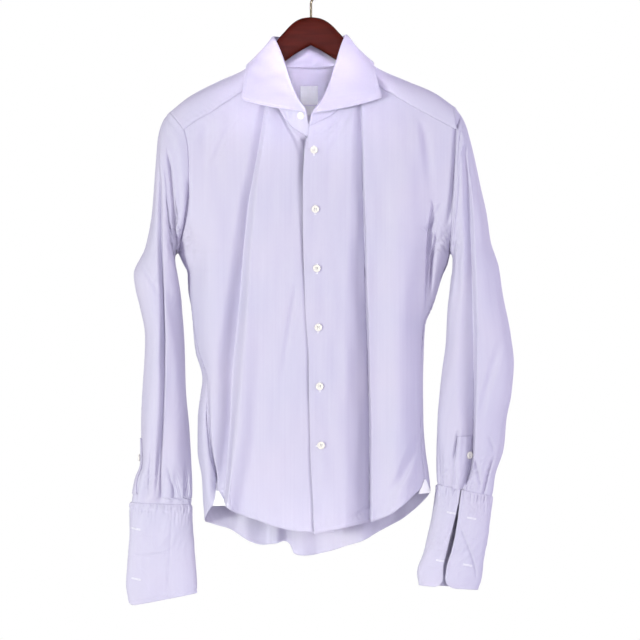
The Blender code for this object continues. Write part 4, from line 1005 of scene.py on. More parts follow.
# ---------------------------------------------------------------- gussets
# A small kite of white cotton twill, folded and edge-stitched over the foot of each side
# seam, where the front and the back hem part.
GUSSET = {"right": dict(top=790.0, foot=813.0), "left": dict(top=774.0, foot=795.0)}
GUSSET_HALF_WIDTH = 14.0
GUSSET_TOP_SHARE = 0.12     # of that width at the top
GUSSET_LIFT = 1.4
GUSSET_CLOTH = 0.8
TWILL_PITCH = 0.0008
COTTON_WHITE = ((0.83, 0.83, 0.84, 1), (0.89, 0.89, 0.90, 1))
WHITE_THREAD = (0.86, 0.86, 0.88, 1)


def gusset_grid(side, rows, columns):
    """Patch wrapped outside the foot of a side seam, narrow at its top."""
    spec = GUSSET[side]
    share = np.linspace(0, 1, rows)[:, None]
    drop = mix(spec["top"], spec["foot"], share)
    seam = seam_angle(side, drop)
    depth = read(BODY, "side_y", drop) - read(DEPTH, "front", drop)
    reach = np.abs(read(BODY, side, drop) - BODY_MIDDLE)
    per_radian = np.hypot(reach * np.sin(seam), depth * np.cos(seam))
    half_angle = GUSSET_HALF_WIDTH / per_radian * mix(GUSSET_TOP_SHARE, 1.0, share)
    a = seam + half_angle * np.linspace(-1, 1, columns)[None, :]
    x, front_y = body_ring(side, drop, a, "front")
    _, back_y = body_ring(side, drop, a, "back")
    y = np.where(a < 0, back_y, front_y) + front_folds(x, drop) * (a > 0)
    grid = grid_of(x, y, drop)
    return grid + outward(grid, body_axis(grid)) * GUSSET_LIFT


def ribbed(name, pitch, slope, colours, **gloss):
    """Twill or satin weave: fine ribs, level for slope 0 and diagonal for slope 1."""
    cloth = Finish(name, **gloss)
    across = cloth.node("SeparateXYZ", {}, cloth.node("UVMap", {"uv_map": "cut"}))
    ribs = ((across * slope + across.beside("Y")) * (math.tau / pitch)).sine()
    return cloth.wear(
        Base_Color=cloth.blend(ribs * 0.5 + 0.5, *colours),
        Normal=cloth.node("Bump", {}, Strength=0.3, Distance=0.0001, Height=ribs))


white_cotton = ribbed("white_cotton", TWILL_PITCH, 1.0, COTTON_WHITE, Roughness=0.85,
                      Sheen_Weight=0.2)
white_thread = cotton_thread("white_thread", WHITE_THREAD)

for side in ("right", "left"):
    grid = gusset_grid(side, rows=22, columns=30)
    gaps = edge_gaps(grid)
    normals = outward(grid, body_axis(grid))
    relief = 0.35 * ripples(grid[..., 0], grid[..., 2], seed=61, lengths=(16, 18))
    grid = raised(grid, normals, relief)
    piece = sew(f"gusset_{side}_cloth", [grid], white_cotton, GUSSET_CLOTH)
    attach(piece, "root")
    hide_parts(f"gusset_{side}")
    edges = [inset(grid, normals, gap, SEAM_STITCH, down=False) for gap in gaps[2:]]
    stitching(f"stitching_gusset_{side}", edges, white_thread, lift=on_top(GUSSET_CLOTH),
              pitch=2.0, length=1.4)


# ---------------------------------------------------------------- sleeves
# Each sleeve is one piece of the same cloth, set into the armhole and gathered into its
# cuff.  Hanging empty, it falls in two or three deep folds from the shoulder.
SLEEVE_POWER = 0.92         # below 1, so that a section is a little boxy
SLEEVE_COLUMNS = 401        # before they are crowded round the pleats
SLEEVE = {
    "right": table("row outer_x outer_drop inner_x inner_drop y depth", [
        (1, -223.7, 229.6, -206, 434, -13, 40), (2, -231.3, 252.4, -207.5, 441, -12, 43),
        (3, -235.6, 296.5, -206.5, 450, -11, 45), (4, -239, 338, -204.5, 461, -10, 46),
        (5, -242.5, 371, -201.5, 474, -9, 46), (6, -252, 421, -199, 489.5, -7, 46),
        (7, -269, 461, -197.6, 504, -5, 43), (8, -266, 486.5, -196.8, 520, -4, 42),
        (9, -260, 512, -195.3, 540, -3, 42), (10, -252.8, 559, -193, 578, -2, 43),
        (11, -255.7, 634, -190.8, 641, -2, 43), (12, -258.4, 699, -186, 699, -2, 40),
        (13, -259, 748, -183, 748, -2, 34), (14, -267.5, 776, -182.4, 779, -2, 26),
        (15, -273.6, 812.6, -183.8, 815.7, -2, 15.4),
    ]),
    "left": table("row outer_x outer_drop inner_x inner_drop y depth", [
        (1, 229.4, 224.3, 214.5, 434, -13, 40), (2, 235, 236, 216, 441, -12, 43),
        (3, 241, 256, 216, 449, -11, 45), (4, 249.3, 289, 215.5, 459, -10, 46),
        (5, 258, 330, 214, 468, -9, 46), (6, 267, 371, 212.5, 480, -7, 46),
        (7, 273, 412, 211, 493, -5, 44), (8, 285.8, 452, 209, 507, -4, 42),
        (9, 292, 495.6, 207.5, 527, -3, 40), (10, 304, 556.4, 206, 566, -2, 36),
        (11, 309.5, 599, 201.4, 603, -2, 33), (12, 306.6, 641.5, 196.8, 641.5, -2, 33),
        (13, 297, 684, 193, 684, -2, 33), (14, 292, 727, 192.3, 727, -2, 30),
        (15, 280, 767, 193, 762, -2, 25), (16, 274.9, 802.9, 194.4, 784.9, -2, 17),
    ]),
}
SLEEVE_FOLDS = {
    "right": dict(
        front=[
            fold(8, 8, (430, -262, 0), (455, -250, 3), (480, -236, 2), (500, -228, 0)),
        ],
        back=[
            fold(10, 9, (280, -215, 0), (380, -212, 9), (500, -214, 8), (640, -216, 9),
                 (740, -222, 0)),
        ]),
    "left": dict(
        front=[
            fold(8, 8, (395, 225, 0), (440, 222, 6), (480, 221, 4), (520, 220, 0)),
            fold(9, 11, (560, 286, 0), (600, 276, 3), (650, 262, 2.5), (700, 254, 0)),
        ],
        back=[
            fold(12, 14, (280, 232, 0), (400, 240, 8), (520, 250, 9), (660, 252, 8),
                 (740, 244, 0)),
        ]),
}
SLEEVE_PLEATS = {
    "right": [
        pleat(1, (255, -228.5, 0, 7, 2.5), (290, -227, 6, 7, 2.5), (334, -224, 8, 7, 3),
              (410, -222.5, 9, 8, 3), (486, -220, 11, 8, 3), (562, -218, 12, 9, 3),
              (608, -218, 13, 10, 3), (658, -219.5, 12, 10, 3), (710, -222.5, 12, 10, 2.5),
              (760, -225, 10, 9, 2.5), (803, -225.7, 2, 6, 2.5)),
        pleat(1, (274, -213, 0, 4, 3), (287, -211.5, 4, 4, 3), (309, -208, 7, 4, 3),
              (347, -205, 8, 4, 3), (398, -202, 8, 4, 3), (425, -200.5, 4, 4, 3),
              (446, -200, 0, 4, 3)),
    ],
    "left": [
        pleat(1, (245, 236, 0, 5, 5), (292, 238, 5, 7, 5), (334, 243, 8, 10, 6),
              (410, 247.5, 10, 15, 7), (512, 251.5, 13, 24, 7), (562, 252.5, 15, 29, 6),
              (623, 252, 17, 30, 5), (669, 251, 18, 26, 4), (702, 249.5, 18, 22, 3),
              (742, 247, 17, 18, 3), (771, 241.5, 14, 14, 3), (790, 234, 8, 9, 3),
              (802, 230, 4, 6, 3)),
    ],
}
SLEEVE_CREASES = {
    "right": [
        fold(3, 3.5, (724, -241, 0), (745, -243, 3), (785, -246, 3.4), (806, -248, 0)),
        fold(3.5, 3, (724, -229, 0), (745, -231, 3), (780, -234, 4), (806, -236, 0)),
        fold(3, 3.5, (752, -217, 0), (770, -214, 3.4), (790, -209, 3.4), (806, -205, 0)),
        fold(2.5, 3, (778, -203, 0), (790, -201, 3), (806, -198, 0)),
        fold(4, 5, (735, -186, 0), (765, -189, 4), (790, -190, 5), (806, -186, 0)),
        fold(4, 5, (390, -214, 0), (410, -208, 4), (428, -205, 4), (446, -204, 0)),
    ],
    "left": [
        fold(2.5, 3.5, (696, 222.5, 0), (712, 221, 6), (728, 219, 6), (748, 216, 0)),
        fold(3, 4.5, (738, 277, 0), (752, 272, 6), (772, 267, 6), (790, 263, 5), (801, 261, 0)),
        fold(4, 4, (742, 248, 0), (758, 252, 4), (775, 256, 3), (790, 258, 0)),
        fold(5, 6, (690, 232, 0), (730, 229, 2), (780, 228, 0)),
        fold(2.5, 3, (705, 268, 0), (715, 272, 2.4), (726, 276, 2.4), (735, 279, 0)),
        fold(4, 4, (752, 210, 0), (764, 205, 3.4), (776, 198, 3), (786, 194, 0)),
        fold(4, 6, (232, 226, 0), (262, 223, 3), (300, 222, 2), (330, 222, 0)),
    ],
}
SLEEVE_CRUMPLES = {
    "right": crumples((-203, 415, 12, 28, 2.0, 14), (-190, 788, 10, 20, 1.8, 10),
                      (-245, 772, 24, 30, 1.0, 10)),
    "left": crumples((216, 425, 12, 26, 2.0, 14), (222, 235, 12, 12, 1.2, 12),
                     (205, 770, 14, 22, 1.7, 12), (264, 762, 18, 28, 1.6, 13),
                     (238, 775, 20, 24, 1.2, 10)),
}
GATHER_START = {"right": 12.4, "left": 13.2}
GATHER_COUNT = 14
GATHER_DEPTH = 4.4
GATHER_SHIFT = 0.28         # share of the pitch by which a gather may stand to one side
GATHER_LATE = 0.45          # share of the way down by which it may start later
GATHER_WIDTH = (7.5, 11.0)
GATHER_STRENGTH = (0.7, 1.25)
GATHER_SPREAD = 0.35        # how much the cloth between them stands out
GATHER_END = 0.4            # rows above the cuff, from where they are sewn flat
GATHER_SEED = {"right": 5, "left": 8}
SLIT_ANGLE = {"right": 0.0, "left": 62.0}
SLIT_CLEAR = (22.0, 36.0)
SLEEVE_LAP = 400            # girth that the puckers and waves round a sleeve are measured on
SLEEVE_GIRTH = 0.72         # share of it that the flat cloth has
ARMHOLE_STITCH = 1.7


def section_ring(measures, angle):
    """Flattened ring round a sleeve or cuff; the angle runs 0 outer, 90 front."""
    cosine, sine = (signed_power(part(np.radians(angle)), SLEEVE_POWER)
                    for part in (np.cos, np.sin))
    out = 0.5 + 0.5 * cosine
    return grid_of(mix(measures["inner_x"], measures["outer_x"], out),
                   measures["y"] - measures["depth"] * sine,
                   mix(measures["inner_drop"], measures["outer_drop"], out))


def angle_off(angle, middle):
    """How far angles are from a middle, round the circle."""
    return np.abs((angle - middle + 180) % 360 - 180)


def sleeve_grid(side, rows, columns):
    """Rings of a sleeve, from the armhole to the cuff."""
    angle = np.linspace(0, 360, SLEEVE_COLUMNS)[None, :]
    turn = np.where(angle > 180, angle - 360, angle)
    measures = {name: column[:, None] for name, column in SLEEVE[side].items()}
    rings = np.concatenate([armhole(side, turn), section_ring(measures, angle)])
    last = len(rings) - 1
    row = np.linspace(0, last, rows)
    points = smooth(row, np.arange(len(rings)), rings)
    density = crowding(SLEEVE_PLEATS[side], points[..., 0], points[..., 2])
    density = np.where(angle < 180, density, 1.0)
    points, angle = crowded(points, angle, density, columns + 1)
    points, angle = points[:, :-1], angle[:, :-1]
    phi = np.radians(angle)

    row = row[:, None]
    x, drop = points[..., 0], points[..., 2]
    front = (pleat_depth(SLEEVE_PLEATS[side], x, drop)
             + fold_depth(SLEEVE_FOLDS[side]["front"], x, drop)
             + fold_depth(SLEEVE_CREASES[side], x, drop)
             + crumple_depth(x, drop, SLEEVE_CRUMPLES[side]))
    back = fold_depth(SLEEVE_FOLDS[side]["back"], x, drop)
    seam = fold_depth(SEAM_CREASES, x, drop)
    facing = ramp(row, 0.05, 0.5) * np.abs(np.sin(phi)) ** 0.4
    points[..., 1] += facing * np.where(np.sin(phi) > 0, front, -back)
    points[..., 1] += np.where(np.sin(phi) > 0, seam, 0.0)

    dice = np.random.default_rng(GATHER_SEED[side])
    wave = np.zeros(points.shape[:2])
    for k in range(GATHER_COUNT):
        middle = (k + 0.5 + dice.uniform(-GATHER_SHIFT, GATHER_SHIFT)) * 360 / GATHER_COUNT
        start = mix(GATHER_START[side], last, dice.uniform(0.0, GATHER_LATE))
        hollow = bell(angle_off(angle, middle) / dice.uniform(*GATHER_WIDTH))
        wave -= dice.uniform(*GATHER_STRENGTH) * hollow * ramp(row, start, last - GATHER_END)
    wave = GATHER_DEPTH * (wave + GATHER_SPREAD * ramp(row, GATHER_START[side], last))
    wave = wave * (1 - 0.9 * ramp(row, last - GATHER_END, last))
    wave = wave * ramp(angle_off(angle, SLIT_ANGLE[side]), *SLIT_CLEAR)
    centre = points.mean(axis=1, keepdims=True)
    return raised(points, unit((points - centre) * [1, 1, 0]), wave), centre, phi


sleeves = {}
for side in ("right", "left"):
    grid, centre, phi = sleeve_grid(side, rows=225, columns=140)
    normals = outward(grid, centre, closed=True)
    gaps = edge_gaps(grid)
    lap = gaps[2] / gaps[2].max(axis=1, keepdims=True) * SLEEVE_LAP
    sway = sum(ripples(part(phi) * 70, gaps[0], seed=seed + len(side), lengths=(60, 230))
               for part, seed in ((np.cos, 41), (np.sin, 43)))
    head = 3.0 * near(gaps[0], 15, 9) * ramp(np.sin(phi), -0.2, 0.8)
    relief = (felled(gaps[0], width=7.5, height=0.35)
              + puckers(gaps[0], lap, seed=44, height=0.5, reach=10, pitch=8) + head
              + 0.42 * sway * ramp(gaps[0], 0, 30) * ramp(gaps[1], 0, 40))
    grid = tucked(raised(grid, normals, relief), normals, 0)
    girth = np.broadcast_to(lap[:1] * SLEEVE_GIRTH, gaps[0].shape)
    piece = sew(f"sleeve_{side}_cloth", [grid], shirting, closed=True,
                grain=[np.stack([girth, gaps[0]], axis=-1)])
    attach(piece, "root")
    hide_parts(f"sleeve_{side}")
    sleeves[side] = piece
    ring = inset(grid, normals, gaps[0], ARMHOLE_STITCH)
    stitching(f"stitching_sleeve_{side}", [np.concatenate([ring, ring[:1]])], lilac_thread)


# ---------------------------------------------------------------- sleeve plackets
# A narrow strip of the same cloth with a boxed top binds the slit above each cuff.  It is
# edge-stitched all round and closes with one small button.
INWARD = (0, 1, 0)          # from the front towards the back
IN_FRONT = -300             # y and x of points that lie outside the whole shirt
OUTSIDE = -400
PLACKET = {
    "left": dict(across=(222, 244), drop=(708, 790), start=IN_FRONT, slant=-9.0, into=INWARD),
    "right": dict(across=(-14, 8), drop=(712, 797), start=OUTSIDE, slant=0.0, into=(1, 0, 0)),
}
PLACKET_CLOTH = 0.9
PLACKET_BULGE = 0.5
PLACKET_BOX = 24.0          # from the top to the stitches that close its boxed end
PLACKET_STITCH_LIFT = 0.55
LAID_CLEARANCE = 0.75


def surface_of(piece):
    """Ray-castable surface of a piece with its modifiers applied."""
    return BVHTree.FromObject(piece, bpy.context.evaluated_depsgraph_get())


def flat_grid(across, drop, y, columns, rows, slant=0.0):
    """Rectangle of ray starts in front of a surface; slant shifts x over its height."""
    share = np.linspace(0, 1, rows + 1)[:, None]
    x = np.linspace(*across, columns + 1)[None, :] + slant * share
    return grid_of(x, float(y), mix(*drop, share))


def laid(surface, starts, into, calm=3, ease=0.6):
    """Grid of points that lies on a surface, a little eased over its small hollows."""
    into = np.array(into, float)
    deep = np.zeros(starts.shape[:2])
    world = to_world(starts)
    for i, j in np.ndindex(deep.shape):
        spot, _, _, far = surface.ray_cast(Vector(world[i, j]), Vector(into))
        deep[i, j] = far / MM if spot else np.nan
    deep = np.where(np.isnan(deep), np.nanmedian(deep), deep)
    eased = deep.copy()
    for _ in range(calm):
        edge = np.pad(eased, 1, mode="edge")
        around = (edge[:-2, 1:-1] + edge[2:, 1:-1] + edge[1:-1, :-2] + edge[1:-1, 2:]) / 4
        eased = np.minimum(mix(eased, around, ease), deep)
    return starts + into * (eased - LAID_CLEARANCE)[..., None]


for side, spec in PLACKET.items():
    starts = flat_grid(spec["across"], spec["drop"], spec["start"], columns=16, rows=60,
                       slant=spec["slant"])
    if side == "right":
        starts = starts[:, ::-1][..., [1, 0, 2]]
    grid = laid(surface_of(sleeves[side]), starts, spec["into"])
    gaps = edge_gaps(grid)
    normals = outward(grid, grid + np.array(spec["into"]) * 50.0)
    grid = raised(grid, normals, PLACKET_BULGE * ramp(gaps[2], 0, 4) * ramp(gaps[3], 0, 4))
    piece = sew(f"sleeve_placket_{side}_cloth", [grid], shirting, PLACKET_CLOTH)
    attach(piece, "root")
    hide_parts(f"sleeve_placket_{side}")
    lines = [inset(grid, normals, gap, SEAM_STITCH, down=False) for gap in gaps[2:]]
    lines += [inset(grid, normals, gaps[0], distance) for distance in (SEAM_STITCH, PLACKET_BOX)]
    stitching(f"stitching_placket_{side}", lines, lilac_thread, lift=PLACKET_STITCH_LIFT)


# ---------------------------------------------------------------- cuffs
# Double cuffs of two interlined layers, turned down to their full depth, with rounded
# corners.  Their ends are edge-stitched and worked with four buttonholes for links.
CUFF = {
    "right": table("down outer_x outer_drop inner_x inner_drop y depth", [
        (0, -275.4, 809.6, -182.8, 812.7, -2, 17.4), (0.33, -276.5, 857, -180, 857, -2, 16),
        (0.68, -279, 910, -176, 910, -2, 14), (0.88, -281, 942, -174, 940, -2, 13),
        (1, -279, 968, -174.5, 948, -2, 13),
    ]),
    "left": table("down outer_x outer_drop inner_x inner_drop y depth", [
        (0, 276.4, 799.9, 193, 781.9, -2, 19), (0.33, 271.5, 848, 184, 829, -2, 17),
        (0.68, 263.5, 890, 172, 880, -2, 15), (0.88, 259.5, 917, 163, 913, -2, 14),
        (1, 254, 943, 165, 936, -2, 14),
    ]),
}
CUFF_OPENING = {"right": 0.0, "left": 98.0}
CUFF_GAP = {
    "right": table("down gap", [(0, 2), (1, 2)]),
    "left": table("down gap", [
        (0, 1), (0.12, 1.2), (0.35, 3.2), (0.6, 4.6), (0.85, 3.4), (1, 2)]),
}
CUFF_CORNER = 16.0
CUFF_CLOTH = 1.3
CUFF_CREASES = {
    "right": [
        fold(2.4, 2, (828, -211, 0), (845, -212, 1.1), (950, -218, 1.1), (962, -219, 0)),
        fold(3, 3, (812, -240, 0), (830, -241, 0.8), (850, -243, 0)),
        fold(3, 3, (812, -205, 0), (832, -206, 0.9), (856, -205, 0)),
    ],
    "left": [
        fold(1.8, 3, (845, 227, 0), (855, 230, 1.8), (886, 242, 2.0), (912, 249.5, 1.8),
             (928, 252, 0)),
        fold(3, 3, (790, 212, 0), (808, 210, 0.9), (835, 207, 0)),
    ],
}
CUFF_LEVEL_CREASES = {
    "right": [
        fold(1.6, 2.2, (-274, 886, 0), (-262, 888, 1.3), (-240, 887, 1.6), (-222, 885, 1.0),
             (-213, 884, 0)),
        fold(3, 3, (-268, 858, 0), (-250, 860, 0.6), (-232, 858, 0)),
        fold(3, 3, (-262, 905, 0), (-252, 916, 0.7), (-243, 934, 0)),
    ],
    "left": [
        fold(2.5, 2.5, (192, 868, 0), (205, 870, 0.9), (222, 869, 0)),
        fold(2.5, 2.5, (188, 879, 0), (202, 881, 0.9), (218, 881, 0)),
        fold(3, 3, (238, 862, 0), (250, 864, 0.8), (264, 862, 0)),
        fold(3, 3, (176, 905, 0), (190, 908, 0.7), (208, 907, 0)),
    ],
}
CUFF_CRUMPLES = {
    "right": crumples((-230, 818, 50, 12, 0.7, 9), (-230, 870, 60, 36, 0.5, 30),
                      (-205, 945, 30, 14, 0.5, 8)),
    "left": crumples((210, 812, 20, 16, 0.8, 9), (248, 822, 20, 18, 0.9, 9),
                     (205, 872, 26, 16, 0.7, 9), (230, 880, 60, 40, 0.5, 26)),
}
UNDER_LAYER = {
    "right": [(-261, 905), (-254, 925), (-244.7, 942), (-233, 952), (-220, 957), (-200, 953),
              (-180, 946)],
    "left": [(229, 853), (235, 868), (241.7, 886), (246, 900), (249.5, 914)],
}
EDGE_STITCH = 5.5
CUFF_TOP_STITCHES = (2.0, 11.0)
STITCH_DENT = 0.35
STITCH_DENT_WIDTH = 0.9
CUFF_TUCK = 0.9             # how far its top edge is drawn in under the sleeve
CORNER_SHARE = 0.9
UNDER_LAYER_LIFT = 0.06


def cuff_grid(side, columns, rows):
    """Cuff from one end round to the other, with rounded corners at the turned-down edge."""
    section = CUFF[side]
    down = np.linspace(0, 1, rows + 1)
    width = abs(section["outer_x"][0] - section["inner_x"][0])
    gap = read(CUFF_GAP[side], "gap", down) * 180 / (2 * width + 2 * section["depth"][0])
    gap = gap[:, None]
    angle = CUFF_OPENING[side] + mix(gap, 360 - gap, np.linspace(0, 1, columns + 1))
    measures = {name: read(section, name, down)[:, None] for name in section}
    for name in ("inner_drop", "outer_drop"):
        measures[name] = mix(section[name][0], section[name][-1], down[:, None])
    grid = section_ring(measures, angle)
    run = length_along(grid[-1, :, :2])
    inside = np.clip(1 - np.minimum(run, run[-1] - run) / CUFF_CORNER, 0, 1)
    corner = CUFF_CORNER * (1 - np.sqrt(1 - inside ** 2)) * CORNER_SHARE
    grid[..., 2] -= corner * down[:, None]
    return grid


def seat(surface, start, into):
    """Point and outward normal where a ray meets a piece, in metres; None where it misses."""
    spot, normal, _, _ = surface.ray_cast(Vector(to_world(start)), Vector(into))
    if spot is not None and normal.dot(Vector(into)) > 0:
        normal = -normal
    return spot, normal


def from_world(vector, size=MM):
    """Metres with +Z up as table millimetres, or with size 1 the same for a direction."""
    return [vector[0] / size, vector[1] / size, -vector[2] / size]


def traced(surface, path, into, step=1.5):
    """Line of points and normals where a path of x and drop lies on a piece."""
    path = np.array(path, float)
    run = length_along(path)
    line = []
    for at in np.arange(0, run[-1], step):
        x, drop = sampled(at, run, path)
        spot, normal = seat(surface, (x, IN_FRONT, drop), into)
        if spot is not None:
            line.append(from_world(spot) + from_world(normal, 1))
    return np.array(line)


cuffs = {}
for side in ("right", "left"):
    grid = cuff_grid(side, columns=170, rows=96)
    gaps = edge_gaps(grid)
    normals = outward(grid, grid.mean(axis=1, keepdims=True))
    x, drop = grid[..., 0], grid[..., 2]
    dents = (fold_depth(CUFF_CREASES[side], x, drop)
             + fold_depth(CUFF_LEVEL_CREASES[side], drop, x)) * (grid[..., 1] < 0)
    dents = dents + crumple_depth(x, drop, CUFF_CRUMPLES[side])
    sway = 0.5 * ripples(gaps[2], gaps[0], seed=54 + len(side), lengths=(70, 90))
    relief = (puckers(gaps[0], gaps[2], seed=52, height=2.0, reach=12, pitch=6) - dents
              + puckers(gaps[1], gaps[2], seed=53, height=0.25, reach=8, pitch=10)
              + sway * ramp(gaps[0], 0, 15))
    rows_of_stitches = [(gap, EDGE_STITCH) for gap in gaps[1:]]
    rows_of_stitches += [(gaps[0], distance) for distance in CUFF_TOP_STITCHES]
    for gap, distance in rows_of_stitches:
        relief = relief - STITCH_DENT * near(gap, distance, STITCH_DENT_WIDTH)
    relief = relief - CUFF_TUCK * (1 - ramp(gaps[0], -1, 3))
    grid = raised(grid, normals, relief)
    piece = sew(f"cuff_{side}_cloth", [grid], shirting, CUFF_CLOTH)
    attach(piece, "root")
    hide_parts(f"cuff_{side}")
    cuffs[side] = piece
    lines = [inset(grid, normals, gaps[0], distance) for distance in CUFF_TOP_STITCHES]
    lines += [inset(grid, normals, gap, EDGE_STITCH, down=False)[:-3] for gap in gaps[2:]]
    lines.append(inset(grid, normals, gaps[1], EDGE_STITCH)[6:-6])
    stitching(f"stitching_cuff_{side}", lines, lilac_thread, lift=on_top(CUFF_CLOTH))
    under = traced(surface_of(piece), UNDER_LAYER[side], INWARD)
    stitching(f"stitching_under_layer_{side}", [under], lilac_thread, lift=UNDER_LAYER_LIFT)


# ---------------------------------------------------------------- collar band
# Stand of the same cloth with a firm interlining, sewn round the neck and open at the
# front, where its button closes it.  Its inner side shows at the back of the neck.
COLLAR = table(
    "place seam_x seam_y seam_drop roll_x roll_y roll_drop edge_x edge_y edge_drop", [
        (-1.00, 1, -54, 261, -7, -66, 217, -102.6, -53, 201),
        (-0.88, -33, -50, 237, -20, -57, 199, -105, -51, 196),
        (-0.77, -56, -39, 200, -31, -44, 172, -103.5, -46, 186),
        (-0.65, -73, -27, 164, -42, -26, 139, -100.5, -36, 163),
        (-0.57, -79, -15, 141, -51, -15, 116, -98.5, -21, 149),
        (-0.50, -80, -2, 133, -57, -2, 102, -97, -5, 142.5),
        (-0.40, -76, 16, 136, -57, 12, 100, -94, 16, 145),
        (-0.25, -58, 34, 140, -45, 34, 98.5, -80, 50, 150),
        (-0.12, -30, 42, 143, -24, 46, 98.5, -42, 67, 153),
        (0.00, 0, 45, 144.5, 0, 50, 99, 0, 72, 154),
        (0.12, 30, 42, 143, 24, 46, 98.5, 42, 67, 153),
        (0.25, 58, 34, 140, 43, 34, 98, 78, 50, 149),
        (0.40, 76, 16, 136, 53, 12, 97.5, 92, 16, 142),
        (0.50, 80, -2, 133, 53, -2, 99, 94.5, -5, 139.5),
        (0.57, 79, -15, 141, 47.5, -15, 114, 96, -21, 146),
        (0.65, 73, -27, 164, 40, -26, 139, 98.5, -36, 160),
        (0.77, 55, -40, 198, 30, -44, 172, 102.5, -46, 180),
        (0.88, 32, -52, 223, 18, -58, 201, 105.5, -50, 190),
        (1.00, -3.5, -61, 241, 3, -69, 218.5, 106.4, -52, 197.5),
    ])
BAND_CLOTH = 1.3
BAND_LIFT = 0.6
BAND_EDGE = 0.5
BAND_BOW = 0.48
BAND_STITCH, BAND_END_STITCH = 1.8, 3.0


def neck_lines(columns):
    """Neck seam, roll line and outer edge of the collar, along its length."""
    place = np.linspace(-1, 1, columns + 1)
    return [neck_seam(place)] + [triple(COLLAR, f"{line}_x {line}_y {line}_drop", place)
                                 for line in ("roll", "edge")]


seam, roll, edge = neck_lines(200)
seam = seam + unit(roll - seam) * BAND_LIFT
roll = roll + unit(seam - roll) * BAND_EDGE
grid = np.stack([mix(seam, roll, t) for t in np.linspace(0, 1, 22)])
gaps = edge_gaps(grid)
normals = outward(grid, grid * [0, 0, 1] + [0, -5, 0])
bow = np.sin(np.pi * np.clip(gaps[0] / (gaps[0] + gaps[1]), 0, 1))
sway = 0.5 * ripples(gaps[2], gaps[0], seed=71, lengths=(40, 60))
relief = (sway * ramp(gaps[0], 0, 8) - BAND_BOW * bow
          + puckers(gaps[0], gaps[2], seed=72, height=0.3, reach=7, pitch=6))
grid = raised(grid, normals, relief)
band_piece = sew("collar_band_cloth", [grid], shirting, BAND_CLOTH)
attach(band_piece, "root")
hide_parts("collar_band")
lines = [inset(grid, normals, gap, BAND_END_STITCH, down=False)[:-2] for gap in gaps[2:]]
stitching("stitching_band", [inset(grid, normals, gaps[0], BAND_STITCH)] + lines,
          lilac_thread, lift=on_top(BAND_CLOTH))
stitching("stitching_band_inside", [inset(grid, -normals, gaps[0], BAND_STITCH)],
          lilac_thread, lift=on_top(BAND_CLOTH))

# ---------------------------------------------------------------- collar leaf
# Cutaway leaf of two interlined layers, turned over the band with a soft roll.  Its edge
# is pressed sharp and stitched all along.
LEAF_BULGE = 0.05           # share of its depth by which it swells
LEAF_BACK = -0.6            # share of that at the back, where it curves the other way
LEAF_FRONT = (0.62, 0.85)   # places along the neck between which this turns
LEAF_ROLL_ROWS = 6
LEAF_CLOTH = 1.4
LEAF_ROLL = ((0.0, -1.2), (2.2, -1.6), (2.5, 2.4))     # out from and down from the roll line


def leaf_grid(columns, rows):
    """Leaf from above the band's top, round its roll, and down to the outer edge."""
    seam, roll, edge = neck_lines(columns)
    down = unit(seam - roll)
    away = edge - roll
    length = np.linalg.norm(away, axis=-1, keepdims=True)
    out = unit(np.cross(np.gradient(roll, axis=0), down))
    out = out * np.sign(np.sum(out * away, axis=-1, keepdims=True))
    first, corner, start = (roll + out * far + down * low for far, low in LEAF_ROLL)
    flat = mix(LEAF_BACK, 1.0, ramp(np.abs(np.linspace(-1, 1, columns + 1)), *LEAF_FRONT))
    rings = []
    for t in np.linspace(0, 1, LEAF_ROLL_ROWS + 1)[:-1]:
        rings.append(first * (1 - t) ** 2 + corner * (2 * t * (1 - t)) + start * t ** 2)
    for t in np.linspace(0, 1, rows + 1):
        bulge = LEAF_BULGE * flat[:, None] * length * math.sin(math.pi * t)
        rings.append(mix(start, edge, t) + out * bulge)
    return np.stack(rings)


grid = leaf_grid(columns=240, rows=40)
gaps = edge_gaps(grid)
normals = outward(grid, grid[:1] * [0.4, 0.4, 1.0])
edge_gap = np.minimum(np.minimum(gaps[1], gaps[2] + 2), gaps[3] + 2)
sway = 0.35 * ripples(gaps[2], gaps[1], seed=73, lengths=(50, 50))
relief = (sway * ramp(gaps[0], 2, 16)
          - STITCH_DENT * near(edge_gap, EDGE_STITCH, STITCH_DENT_WIDTH) * ramp(gaps[0], 4, 10)
          + puckers(gaps[1], gaps[2], seed=74, height=0.22, reach=8, pitch=7))
grid = raised(grid, normals, relief)
leaf_piece = sew("collar_leaf_cloth", [grid], shirting, LEAF_CLOTH)
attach(leaf_piece, "root")
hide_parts("collar_leaf")
lines = [inset(grid, normals, gap, EDGE_STITCH, down=False)[8:-4] for gap in gaps[2:]]
stitching("stitching_leaf", [inset(grid, normals, gaps[1], EDGE_STITCH)[4:-4]] + lines,
          lilac_thread, lift=on_top(LEAF_CLOTH))

# ---------------------------------------------------------------- labels
# Two woven satin labels, left bare, slip-stitched to the inside of the yoke below the
# collar band: a square one, and a narrow one for the size.
LABELS = {
    "label_main": ((-17, 10.5), (171, 200)),
    "label_small": ((-12, 12), (202, 216)),
}
LABEL_CLOTH = 0.6
IN_THE_NECK = -10
SATIN_PITCH = 0.0007
# Pale silver-white satin, its colour set darker than that to paint the shade the labels lie in
# inside the neck.
SATIN_WHITE_WITH_PAINTED_SHADE = ((0.56, 0.57, 0.62, 1), (0.66, 0.67, 0.71, 1))

label_satin = ribbed("label_satin", SATIN_PITCH, 0.0, SATIN_WHITE_WITH_PAINTED_SHADE, Roughness=0.42,
                     Sheen_Weight=0.3)
inside = surface_of(yoke_piece)
for name, (x_range, drop_range) in LABELS.items():
    grid = laid(inside, flat_grid(x_range, drop_range, IN_THE_NECK, columns=24, rows=24),
                INWARD)
    piece = sew(f"{name}_cloth", [grid], label_satin, LABEL_CLOTH)
    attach(piece, "root")
    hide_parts(name)

